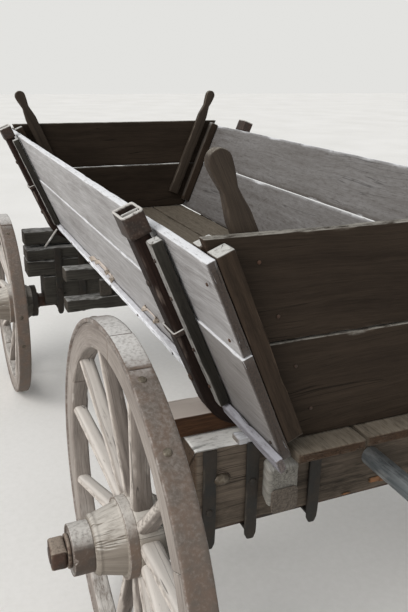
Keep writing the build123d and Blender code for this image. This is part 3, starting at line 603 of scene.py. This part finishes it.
def make_wheel(place, side, centre_x, radius, spoke_count, rivet_turn, seed):
    """Tyre, felloes, spokes, nave and bands of one wheel."""
    name = f"{place}_{side}"
    sign = 1 if side == "left" else -1
    across = (0, sign, 0)

    def put(x, y, z):
        return columns(centre_x + x, sign * (WHEEL_PLANE + y), radius + z)

    def arc(angle, reach, y=0):
        """Directions away from the axle, and places at a reach from it."""
        radial = columns(np.sin(angle), 0 * angle, np.cos(angle))
        return radial, put(reach * radial[..., 0], y + 0 * angle, reach * radial[..., 2])

    def build(piece, part, material, slot, node=None):
        node = node and f"{name}_{node}"
        piece.build(f"{name}_wheel_{part}", material, slot, node, f"{name}_wheel")

    def build_round(profile, spin, shift, relief, part, material, slot, node=None, **options):
        piece = Piece()
        piece.turned(profile, put, spin, seed + shift, relief, **options)
        build(piece, part, material, slot, node)

    half = TYRE_WIDTH / 2
    inside = radius - TYRE_THICK
    edge = [(inside, half), (radius - 0.003, half), (radius - 0.0009, half - 0.0012),
            (radius, half - 0.0034)]
    flat = [(radius, y) for y in np.linspace(-half + 0.01, half - 0.01, 6)]
    build_round([(r, -y) for r, y in edge] + flat + edge[::-1], 220, 0, 0.0014, "tyre_worn", "tyre_iron",
                "tyre_iron", "tyre")

    felloes = Piece()
    middle = inside - FELLOE_DEPTH / 2
    count = spoke_count // 2
    share_turn = TURN / count
    for index in range(count):
        along = stations((share_turn - 2 * FELLOE_GAP) * middle, 0.018, 0.0025)
        radial, centres = arc(share_turn * index + FELLOE_GAP + along / middle, middle)
        felloes.loft(centres, along, radial, across, FELLOE_DEPTH / 2, FELLOE_WIDTH / 2, seed + index, 8, 7,
                     0.0012, 0.004, rounding=0.007, edge=0.0025)
    build(felloes, "felloes_worn", "wheel_wood", "wheel_wood", "felloes")

    spokes = Piece()
    rim = inside - FELLOE_DEPTH
    low, high = SPOKE_FOOT + 0.009, rim + 0.004
    for index in range(spoke_count):
        angle = TURN * (index + 0.5) / spoke_count
        along = stations(high - low, 0.016, 0.002)
        share = along / along[-1]
        reach = low + along
        y = -SPOKE_DISH * (1 - (reach - SPOKE_FOOT) / (rim + 0.012 - SPOKE_FOOT))
        centres = put(reach * sin(angle), y, reach * cos(angle))
        tangent = np.array([cos(angle), 0, -sin(angle)])
        thick = np.interp(share, [0, 0.08, 0.2, 0.75, 1], [0.016, 0.0158, 0.015, 0.0136, 0.0134])
        wide = np.interp(share, [0, 0.1, 0.25, 0.75, 1], [0.025, 0.0245, 0.0222, 0.0192, 0.0185])
        spokes.loft(centres, along, tangent, across, thick, wide, seed + 20 + index, 2, 4, 0.0008, 0,
                    rounding=0.0135, turns=4, edge=0.002)
    build(spokes, "spokes_worn", "spoke_wood", "wheel_wood", "spokes")

    rng = np.random.default_rng(seed)
    cracks = [(rng.uniform(0, TURN), rng.uniform(0.0016, 0.0024), rng.uniform(0.002, 0.005),
               rng.choice((0.014, 0.024, 0.034)), 0.079) for crack in range(8)]
    cracks += [(rng.uniform(0, TURN), 0.002, 0.004, -0.118, -0.06) for crack in range(8)]
    build_round(NAVE_OUTLINE, 360, 3, 0.0012, "nave_worn", "nave_wood", "nave_wood", "nave", cracks=cracks,
                iron_like=False)
    build_round(BAND_OUTLINE, 180, 5, 0.0006, "bands_worn", "band_iron", "dark_iron", "nave_bands")
    build_round(INNER_BAND_OUTLINE, 120, 6, 0.0006, "inner_band_worn", "dark_iron", "dark_iron")
    build_round(CAP_OUTLINE, 180, 7, 0.0007, "cap_worn", "cap_iron", "dark_iron", "nave_bands",
                notch=(4.9, 0.1, 0.006, 0.116, 0.052))

    lap = Piece()
    angle = np.linspace(radians(-17), radians(-2.5), 24)
    radial, centres = arc(angle, radius - 0.0005)
    lap.loft(centres, (angle - angle[0]) * radius, across, radial, half - 0.001, 0.0022, seed + 8, 10, 1,
             0.0006, 0.001, rounding=0.0015, edge=0.0012)
    build(lap, "tyre_lap", "tyre_iron", "tyre_iron")

    rivets = Piece()
    for index in range(count):
        for shift in (-8.75, 8.75):
            normal, spot = arc(share_turn * index + radians(shift - rivet_turn), radius - 0.0018, 0.004)
            rivets.dome(spot, normal, 0.0088, 0.0034, seed + index, flat=0.1)
    build(rivets, "rivets", "bolt_iron", "dark_iron")


# Wheels with their nuts and washers
for place, body, x, radius, spoke_count, rivet_turn, seed in (
        ("rear", "chassis", REAR_X, REAR_R, 12, 28.75, 10),
        ("front", "front_gear", FRONT_X, FRONT_R, 10, 16.75, 50)):
    make_wheel(place, "left", x, radius, spoke_count, rivet_turn, seed)
    make_wheel(place, "right", x, radius, spoke_count, rivet_turn, seed + 17)
    nuts = Piece()
    for sign in (1, -1):
        def at(px, py, pz, x=x, radius=radius, sign=sign):
            return columns(x + px, sign * py, radius + pz)
        nuts.turned(WASHER_OUTLINE, at, 64, 5, 0.0008)
        turn = radians(9)
        nuts.bar((x, sign * 0.7586, radius), (0, sign, 0), 0.0348, (cos(turn), 0, sin(turn)),
                 (-sin(turn), 0, cos(turn)), 0.0262, 0.0262, 31 + sign, 6, 6, 0.0014, 0.0015, step=0.006,
                 rounding=0.0035, edge=0.006, cap=0.001)
        nuts.turned(THREAD_OUTLINE, at, 40, 8, 0.0006)
    nuts.build(f"{place}_nuts_worn", "nut_iron", "dark_iron", f"{place}_axle_nuts", body)

# Box sides with their rails, cleats and battens
for side, word in ((1, "left"), (-1, "right")):
    for part, material, out, low, high, across, seed, chips in (
            ("lower", "lower_planks", 0, 0.0105, JOINT - 0.0006, 22, 3, 0.0015),
            ("upper", "grey_planks", -0.004, JOINT + 0.0006, SLANT, 18, 9, 0.0012)):
        board = Piece()
        lean_bar(board, BOX_REAR, BOX_FRONT, -SIDE_THICK, out, low, high, side, seed + side, across, 5,
                 0.0008, chips, step=0.022, sway=0.001)
        board.wear(f"{word}_{part}_board", material, "grey_planks")

rails, pale_rails = Piece(), Piece()
rail_gap = 0.039
for side in (1, -1):
    start = BOX_REAR - 0.022
    for piece, finish, seed in ((rails, REAR_STAKE_X - rail_gap, 40),
                                (pale_rails, FRONT_STAKE_X - rail_gap, 41), (pale_rails, BOX_FRONT, 45)):
        lean_bar(piece, start, finish, 0.0005, 0.018, 0.008, 0.04, side, seed + side, 4, 3, 0.0012)
        start = finish + 2 * rail_gap
    lean_bar(rails, BOX_REAR - 0.006, BOX_REAR + 0.12, 0.001, 0.013, -0.01, 0.0045, side, 47 + side, 4, 3,
             0.0012)
rails.wear("side_rails", "rail_wood", "grey_planks")
pale_rails.build("side_rails_pale", "pale_wood", "grey_planks")

cleats = Piece()
for index, stake_x, side in STAKES:
    front = stake_x - 0.038
    lean_bar(cleats, front - 0.034, front, 0.0003, 0.027, 0.046, SLANT - 0.005, side, 50 + index + side, 5,
             3, 0.001, grain_up=True)
cleats.wear("side_cleats", "cleat_wood", "dark_planks")

battens = Piece()
for side in (1, -1):
    for end_x, inward in ((BOX_REAR, 1), (BOX_FRONT, -1)):
        for index, (first, last) in enumerate(((0, 0.044), (0.074, 0.112))):
            low, high = sorted((end_x + inward * first, end_x + inward * last))
            lean_bar(battens, low, high, -SIDE_THICK - 0.038, -SIDE_THICK - 0.0003, 0.0435, SLANT, side,
                     60 + 3 * index + side + inward, 5, 5, 0.001, 0.0035, grain_up=True, step=0.016)
battens.wear("end_battens", "batten_wood", "dark_planks")

floor = Piece()
inside_foot = SIDE_FOOT - SIDE_THICK / COS_LEAN
half_width = inside_foot - 0.0008
board_width = (2 * half_width - 3 * FLOOR_GAP) / 4
for index, tail in enumerate((0.009, 0.003, 0.012, 0.005)):
    middle = half_width - index * (board_width + FLOOR_GAP) - board_width / 2
    rear = BOX_REAR - tail
    floor.bar((rear, middle, BOLSTER_TOP + FLOOR_THICK / 2), AHEAD, BOX_FRONT - rear, LEFT, UP,
              board_width / 2, FLOOR_THICK / 2, 70 + index, 20, 5, 0.0014, 0.005, step=0.022, sway=0.0012,
              edge=0.004, cap=0.004)
floor.wear("floor_boards", "floor_planks")


def inner_half(z):
    """Half width of an end board at a height."""
    return inside_foot + (z - BOLSTER_TOP) * TAN_LEAN - 0.005


def end_plank(piece, x_middle, z_low, z_high, seed):
    """A plank across the box whose ends lean with the sides."""
    rows = stations(2, 0.024, 0.01)
    share = rows / rows[-1] * 2 - 1
    middle = (inner_half(z_low) + inner_half(z_high)) / 2
    centres = columns(0 * share + x_middle, share * middle, 0 * share + (z_low + z_high) / 2)
    slope = share * (inner_half(z_high) - inner_half(z_low)) / (z_high - z_low)
    lean = columns(0 * share, slope, 1 + 0 * share)
    piece.loft(centres, (share + 1) * middle, lean, AHEAD, (z_high - z_low) / 2, END_THICK / 2, seed, 20, 5,
               0.001, rounding=0.004, sway=0.0008)


def end_handle(piece, x_middle, side, seed):
    """A cleat up the end board, narrowing to a rounded paddle."""
    out, up = lean_axes(side)
    foot = 0.0253 / COS_LEAN + 0.03
    board_top = (END_TOP - BOLSTER_TOP) / COS_LEAN
    top = board_top + HANDLE_RISE
    paddle = 0.024
    along = join([stations(top - foot - 0.03, 0.011, 0.004)[:-2],
                            top - foot - 0.03 * (1 - np.sin(np.linspace(0, pi / 2, 14)))])
    u = foot + along
    half = np.interp(u, [foot, board_top - 0.02, board_top + 0.033, top - 0.04, top - paddle],
                     [0.025, 0.025, 0.0155, 0.0228, paddle])
    crown = np.sqrt(np.clip(1 - ((u - (top - paddle)) / paddle) ** 2, 0.01, 1))
    half = np.where(u > top - paddle, paddle * crown, half)
    centres = np.array([x_middle, *lean_point(-SIDE_THICK - 0.092, 0, side)]) + u[:, None] * up
    piece.loft(centres, along, out, AHEAD, half, HANDLE_THICK / 2, seed, 6, 4, 0.0009, 0.0025,
               rounding=0.004)


for name, end_x, inward, seed in (("rear_end", BOX_REAR, 1, 80), ("front_end", BOX_FRONT, -1, 90)):
    face = end_x + inward * END_INSET
    for index, (part, low, high) in enumerate((("lower", FLOOR_TOP + 0.0003, END_JOINT - 0.0008),
                                               ("upper", END_JOINT + 0.0008, END_TOP))):
        plank = Piece()
        end_plank(plank, face + inward * END_THICK / 2, low, high, seed + index)
        plank.build(f"{name}_{part}_worn", "dark_planks", node=f"{name}_{part}_plank", body=f"{name}_board")
    paddles, heads = Piece(), Piece()
    for side in (1, -1):
        end_handle(paddles, face + inward * (END_THICK + HANDLE_THICK / 2), side, seed + 3 + side)
        for z in (0.85, 0.95, 1.06, 1.17):
            y = side * (SIDE_FOOT - 0.117 / COS_LEAN + (z - BOLSTER_TOP) * TAN_LEAN + 0.006)
            heads.dome((face, y, z), (-inward, 0, 0), 0.004, 0.0016, seed=8)
    paddles.build(f"{name}_handles_worn", "paddle_wood", "dark_planks", f"{name}_cleats", f"{name}_board")
    heads.build(f"{name}_nails", "plain_iron", "dark_iron", body=f"{name}_board")

# Stakes: a straight length, a bend and a toe, drawn along their outer face in the plane across the wagon
stakes = Piece()
for index, stake_x, side in STAKES:
    out, up = (way[1:] for way in lean_axes(side))
    toe_low = BOLSTER_TOP - 0.05
    corner_y = SIDE_FOOT + STAKE_OUT / COS_LEAN + (toe_low - BOLSTER_TOP) * TAN_LEAN
    foot_top = np.array([side * corner_y, toe_low]) + STAKE_BEND * tan((pi / 2 - LEAN) / 2) * up
    far_top = np.array(lean_point(STAKE_OUT, STAKE_TOP, side))
    straight, bend, toe = (np.linspace(0, 1, count)[:, None] for count in (30, 12, 6))
    here = -LEAN - bend[1:] * (pi / 2 - LEAN)
    curve = np.hstack([side * np.cos(here), np.sin(here)])
    bent = foot_top + STAKE_BEND * (curve - out)
    toe_end = np.array([side * 0.235, toe_low])
    path = join([far_top + (foot_top - far_top) * straight, bent,
                           bent[-1] + (toe_end - bent[-1]) * toe[1:]])
    normals = join([np.tile(out, (30, 1)), curve, np.tile((0, -1), (5, 1))])
    thick = np.interp(np.arange(len(path)), [0, 29, 41, 47], [0.0195, 0.0195, 0.0248, 0.0249])
    centres = np.column_stack([0 * thick + stake_x, path - normals * thick[:, None]])
    along = join([[0], np.cumsum(np.linalg.norm(np.diff(centres, axis=0), axis=1))])
    stakes.loft(centres, along, AHEAD, np.column_stack([0 * thick, normals]), 0.0328, thick,
                100 + index * 2 + side, 8, 5, 0.001, 0.002, rounding=0.0075, turns=2)
stakes.wear("stakes", "stake_wood")


def square_tube(piece, x_middle, half_x, out_low, out_high, up_low, up_high, wall, side, seed):
    """Iron socket or hoop round a stake: a closed band with rounded corners."""
    out, up = lean_axes(side)
    middle = np.array([x_middle, *lean_point((out_low + out_high) / 2, 0, side)])
    radius = 0.006
    ca, cb, na, nb, near = outline(8, 6, 4)
    corners = np.stack([ca * (half_x - radius), cb * ((out_high - out_low) / 2 - radius)])
    outer, inner = (corners + np.stack([na, nb]) * reach for reach in (radius, radius - wall))
    levels = np.linspace(up_low + 0.001, up_high - 0.001, 8)
    rows = [(0, u) for u in levels] + [(0.3, up_high), (0.7, up_high)]
    rows += [(1, u) for u in levels[::-1]] + [(0.6, up_low)]
    points, grain = [], []
    for share, u in rows:
        rx, ro = outer + (inner - outer) * share
        dent = 0.0007 * np.abs(layered(rx * 60, ro * 60, u * 60 + 0 * rx, seed))
        points.append(middle + np.outer(rx - na * dent, AHEAD) + np.outer(ro - nb * dent, out) + u * up)
        grain.append(columns(rx, ro, u + 0 * rx) + seed)
    n, k = len(rows), len(ca)
    wear = np.zeros((n, k))
    wear[7:11] = 1
    piece.put(ring_faces(n, k), np.array(points), np.array(grain), wear, 0 * wear, 0 * wear)


sockets, hoops = Piece(), Piece()
for index, stake_x, side in STAKES:
    low = STAKE_TOP - 0.016
    square_tube(sockets, stake_x, 0.0375, 0.0035, 0.0515, low, low + 0.052, 0.0045, side, 5 + index + side)
    square_tube(hoops, stake_x, 0.037, 0.0004, 0.051, 0.232, 0.246, 0.0038, side, 9 + index + side)
sockets.wear("stake_sockets", "stake_iron")
hoops.wear("stake_hoops", "stake_iron")

# Timbers across the running gear
TIMBER = dict(rounding=0.006, sway=0.002, edge=0.006)
for name, body, node, material, seed in (
        ("rear_timber", "chassis", "rear_axle_beam", "gear_timber", 120),
        ("rear_bolster", "chassis", "rear_bolster", "bolster_wood", 122),
        ("front_bolster", "chassis", "front_bolster", "front_timber", 124),
        ("front_timber", "front_gear", "front_axle_beam", "front_timber", 126)):
    timber = Piece()
    timber.block(*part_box(node), seed, 12, 14, 0.0022, 0.007, **TIMBER)
    timber.build(f"{name}_worn", material, "gear_timber", node, body)

# The sand bolster bridges the hounds and stands on the front timber at both ends
sand = Piece()
low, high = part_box("sand_bolster")
middle = (low[0] + high[0]) / 2
sand.block((middle - 0.06, low[1], 0.63), (middle + 0.06, high[1], 0.686), 128, 12, 8, 0.0022, 0.007,
           **TIMBER)
for start in (low[1], 0.21):
    sand.block((middle - 0.0597, start, 0.5502), (middle + 0.0597, start + 0.33, 0.6308), 129, 12, 8,
               0.0022, 0.007, **TIMBER)
sand.wear("sand_bolster", "front_timber", "gear_timber", "front_gear")

sway = Piece()
low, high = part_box("sway_bars")
for z in (low[2], high[2] - 0.056):
    sway.block((low[0], low[1], z), (high[0], high[1], z + 0.056), 130, 7, 6, 0.0018, 0.006, rounding=0.006,
               edge=0.005)
sway.wear("sway_bars", "front_timber", "gear_timber", "front_gear")

hounds = Piece()
for side in (1, -1):
    start = np.array([REAR_X - 0.084, side * 0.27, REACH_Z + 0.007])
    finish = np.array([REAR_X + 0.9, side * 0.0533, REACH_Z])
    along = stations(finish[0] - start[0], 0.02, 0.012)
    share = along / along[-1]
    hounds.loft(start + share[:, None] * (finish - start), along, LEFT, UP, 0.042 - 0.014 * share,
                0.054 - 0.024 * share, 140 + side, 10, 12, 0.003, 0.004, rounding=0.013, turns=5,
                sway=0.002, edge=0.012, cap=0.004)
hounds.wear("rear_hounds", "hound_wood", "gear_timber")

reach = Piece()
low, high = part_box("reach_pole")
reach.bar((low[0], 0, REACH_Z), AHEAD, high[0] - low[0], LEFT, UP, 0.025, 0.025, 150, 1, 1, 0.0014, 0,
          step=0.03, rounding=0.0245, turns=9, edge=0.006)
reach.wear("reach_pole", "pole_wood")

fore = Piece()
low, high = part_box("front_hounds")
knots = (low[0], PIN_X - 0.09, high[0])
xs = join([np.linspace(knots[0], knots[1], 40), np.linspace(knots[1], knots[2], 10)[1:]])
for side in (1, -1):
    ys = np.interp(xs, knots, (0.27, 0.074, 0.074)) * side
    fore.loft(columns(xs, ys, 0 * xs + REACH_Z), xs - xs[0], LEFT, UP, 0.03, 0.04, 155 + side, 6,
              7, 0.0018, 0.004, rounding=0.006, edge=0.004)
fore.wear("front_hounds", "front_timber", "gear_timber", "front_gear")

# Draught pole, its tip resting on the ground
tilt = asin(REACH_Z / hypot(POLE_LENGTH, POLE_TIP)) - atan(POLE_TIP / POLE_LENGTH)
pole_ahead = np.array([cos(tilt), 0, -sin(tilt)])
pole_up = np.array([sin(tilt), 0, cos(tilt)])
pin = np.array([PIN_X, 0, REACH_Z])


def along_pole(px, py, pz):
    return pin + py[..., None] * pole_ahead + px[..., None] * np.array(LEFT) + pz[..., None] * pole_up


pole = Piece()
along = stations(POLE_LENGTH - 0.012 + POLE_BEHIND, 0.03, 0.005)
half = np.interp(along, [0, 0.428, 2.686], [0.039, 0.044, 0.028]) - 0.0004
pole.loft(pin + (along - POLE_BEHIND)[:, None] * pole_ahead, along, LEFT, pole_up, half, half, 160, 4, 4,
          0.0016, 0, rounding=0.032, turns=5, edge=0.005)
pole.wear("pole", "pole_wood", body="draught_pole")
ferrule = Piece()
ferrule.turned(FERRULE_OUTLINE, along_pole, 64, 3, 0.0008)
ferrule.build("ferrule_worn", "dark_iron", node="pole_ferrule", body="draught_pole")


def strap_set(place, body, x_middle, beam_half, under, top, places, seed):
    """Flat iron straps down both faces of an axle timber and under its bar, with rounded ends."""
    piece = Piece()
    outer = beam_half + 0.008
    surface = (5, 2, 0.0012, 0.0015)
    along = stations(top - under + 0.034, 0.012, 0.003)
    z = top - along
    half = np.interp(z, [under - 0.034, under - 0.029, under - 0.018, under + 0.004, top],
                     [0.0075, 0.0115, 0.0155, 0.0165, 0.017])
    for index, y in enumerate(places):
        head = under + (0.3 + 0.25 * index) * (top - under)
        for side in (1, -1):
            for face in (1, -1):
                centres = columns(0 * z + x_middle + face * (beam_half + 0.004), 0 * z + side * y, z)
                piece.loft(centres, along, LEFT, (face, 0, 0), half, 0.0039, seed + index, *surface,
                           rounding=0.0025, cap=0.0005)
                piece.dome((x_middle + face * outer, side * y, head), (face, 0, 0), 0.009, 0.005, seed=index)
            piece.bar((x_middle - outer + 0.002, side * y, under - 0.004), AHEAD, 2 * outer - 0.004, LEFT,
                      UP, 0.0165, 0.0039, seed + 5 + index, *surface, rounding=0.0025, cap=0.0005)
    piece.build(f"{place}_straps_worn", "dark_iron", node=f"{place}_axle_straps", body=body)


strap_set("rear", "chassis", REAR_X + 0.035, 0.075, 0.475, 0.705, (0.438, 0.331, 0.162), 170)
strap_set("front", "front_gear", FRONT_X, 0.06, 0.395, 0.686, (0.4, 0.29), 180)

# Small worn things: lips of two straps, torn patches, oval bolt heads, worn ends, rust, plates and rods (the
# plates and rods pale as if lit, painted light)
lips, torn, rims, bolts, hound_ends, rust, plates, rods = (Piece() for kind in range(8))
for side in (1, -1):
    y = side * 0.34
    lips.block((REAR_X - 0.044, y - 0.029, 0.7), (REAR_X - 0.006, y + 0.029, 0.719), 190 + side, 5, 3,
               0.002, 0.004, step=0.008, rounding=0.004, edge=0.004)
    rims.dome((REAR_X - 0.0395, side * 0.407, 0.623), (-1, 0, 0), 0.0165, 0.003, 5, 24, 0.3, LEFT, 1.35)
    bolts.dome((REAR_X - 0.0415, side * 0.408, 0.624), (-1, 0, 0), 0.0145, 0.012, 6, 24, 0.05, LEFT, 1.4)
    hound_ends.bar((REAR_X - 0.0826, side * 0.267, 0.56), (-1, 0, 0), 0.0045, LEFT, UP, 0.035, 0.032, 196,
                   8, 8, 0.0012, step=0.002, rounding=0.01, turns=4, edge=0.0016)
    start = np.array([FRONT_X - 0.026, side * 0.389, 0.766])
    reach_out = np.array([FRONT_X - 0.03, side * 0.451, 0.686]) - start
    across_rod = unit(np.cross(reach_out, AHEAD))
    rods.bar(start, reach_out, np.linalg.norm(reach_out), across_rod, unit(np.cross(across_rod, reach_out)),
             0.005, 0.005, 203, 1, 1, 0.0006, 0, step=0.01, rounding=0.0048, turns=4, edge=0.002)
for start, length, up, high in ((1.15, 0.28, 0.054, 0.012), (1.19, 0.14, 0.07, 0.01),
                                (0.66, 0.105, 0.083, 0.006)):
    start += BOX_REAR
    lean_bar(torn, start, start + length, 0.0002, 0.0022, up - high, up + high, 1, 193, 5, 2, 0.0008, 0.006,
             edge=0.02, step=0.008)
for y, z, wide, high in ((-0.024, 0.515, 0.036, 0.008), (-0.046, 0.508, 0.02, 0.004),
                         (0.062, 0.494, 0.024, 0.003)):
    rust.block((REAR_X - 0.0418, y - wide / 2, z - high), (REAR_X - 0.0386, y + wide / 2, z + high), 198, 2,
               5, 0.001, 0.004, step=0.005, rounding=0.0016, edge=0.006)
for index, stake_x, side in STAKES:
    lean_bar(plates, stake_x - 0.017, stake_x - 0.014, 0.009, 0.0465, STAKE_TOP + 0.0005,
             STAKE_TOP + 0.0365, side, 200, 5, 1, 0.0005, 0.001, rounding=0.0012, edge=0.001)
lips.build("timber_lips", "pale_wood", "gear_timber")
torn.build("torn_patches", "torn_wood", "grey_planks")
rims.build("oval_bolt_rims", "nut_iron", "dark_iron")
bolts.build("oval_bolts", "bolt_iron", "dark_iron")
hound_ends.build("hound_end_patches", "worn_end", "gear_timber")
rust.build("rust_flakes", "rust_iron", "dark_iron")
plates.build("socket_plates", "painted_lit_rod_iron", "stake_iron")
rods.build("stake_rods", "painted_lit_rod_iron", "dark_iron")

# Nails and bolts
nails = Piece()
for side in (1, -1):
    out, up = lean_axes(side)
    rows = [(x, 0.0172, 0.024, 0.0045, 0.003, 5) for x in np.arange(BOX_REAR + 0.25, BOX_FRONT - 0.1, 0.31)]
    for stake_x in (REAR_STAKE_X, FRONT_STAKE_X):
        rows += [(stake_x - 0.055, 0.0272, u, 0.0045, 0.003, 3) for u in (0.1, 0.2, 0.33, 0.42)]
        rows += [(stake_x, 0.0469, u, 0.009, 0.005, 4) for u in (0.11, 0.36)]
    for x in (BOX_REAR + 0.022, BOX_FRONT - 0.022):
        rows += [(x, 0, u, 0.004, 0.0022, 6) for u in (0.05, 0.3, 0.42)]
    for x, away, u, radius, height, seed in rows:
        nails.dome((x, *lean_point(away, u, side)), out, radius, height, seed=seed)
for y in (-0.25, -0.09, 0.12, 0.27):
    nails.dome((BOX_REAR + 0.09, y, FLOOR_TOP - 0.0008), UP, 0.0045, 0.0022, seed=7)
nails.build("nails", "plain_iron", "dark_iron")

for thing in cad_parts.values():
    for slot in thing.material_slots:
        slot.material = materials["plain_iron"]

# Floor, light and camera
scene = bpy.context.scene
ground_mesh = bpy.data.meshes.new("studio_floor")
ground_mesh.from_pydata([(-30, -30, 0), (30, -30, 0), (30, 30, 0), (-30, 30, 0)], [], [(0, 1, 2, 3)])
ground = add("studio_floor", ground_mesh)
m = Nodes(bpy.data.materials.new("studio_floor"))
place = m.node("TexCoord", output="Object")
tone = m.plus(m.times(m.noise(place, 0.9, 0.9), 0.6), m.times(m.noise(place, 45, 45, 5, 0.65), 0.4))
pale = m.mix(m.band(tone, 0.3, 0.7), (232, 229, 224), (243, 240, 236))
ground_mesh.materials.append(m.surface({"Base Color": pale, "Roughness": 0.8}))

scene.world = bpy.data.worlds.new("studio")
sky = Nodes(scene.world)
rays = sky.tree.nodes.new("ShaderNodeLightPath").outputs
light = sky.node("Background", {0: (0.93, 0.97, 1, 1), 1: 0.52})
backdrop = sky.node("Background", {0: (0.768, 0.766, 0.745, 1), 1: 1})
seen = sky.math("MAXIMUM", rays["Is Camera Ray"], rays["Is Glossy Ray"])
sky.node("OutputWorld", {0: sky.node("MixShader", {0: seen, 1: light, 2: backdrop})})

sun = bpy.data.lights.new("sky_light", "SUN")
sun.energy = 2.5
sun.angle = radians(55)
sun.color = (1, 0.99, 0.975)
lamp = add("sky_light", sun)
lamp.rotation_euler = Vector((0.3, -0.78, -0.56)).to_track_quat("-Z", "Y").to_euler()

yaw, pitch, roll, focal = -0.4016, 0.3459, 0.0154, 676.1
forward = Vector((cos(yaw) * cos(pitch), sin(yaw) * cos(pitch), -sin(pitch)))
right = Vector((sin(yaw), -cos(yaw), 0))
upward = right.cross(forward)
turned_right = cos(roll) * right + sin(roll) * upward
turned_up = -sin(roll) * right + cos(roll) * upward
camera_data = bpy.data.cameras.new("camera")
camera_data.lens = focal * camera_data.sensor_width / 612
camera_data.clip_start = 0.02
camera = add("camera", camera_data)
place = (REAR_X - 1.2228, 0.9588, 1.5069)
camera.matrix_world = Matrix((*zip(turned_right, turned_up, -forward, place), (0, 0, 0, 1)))
scene.camera = camera
scene.view_settings.view_transform = "Standard"
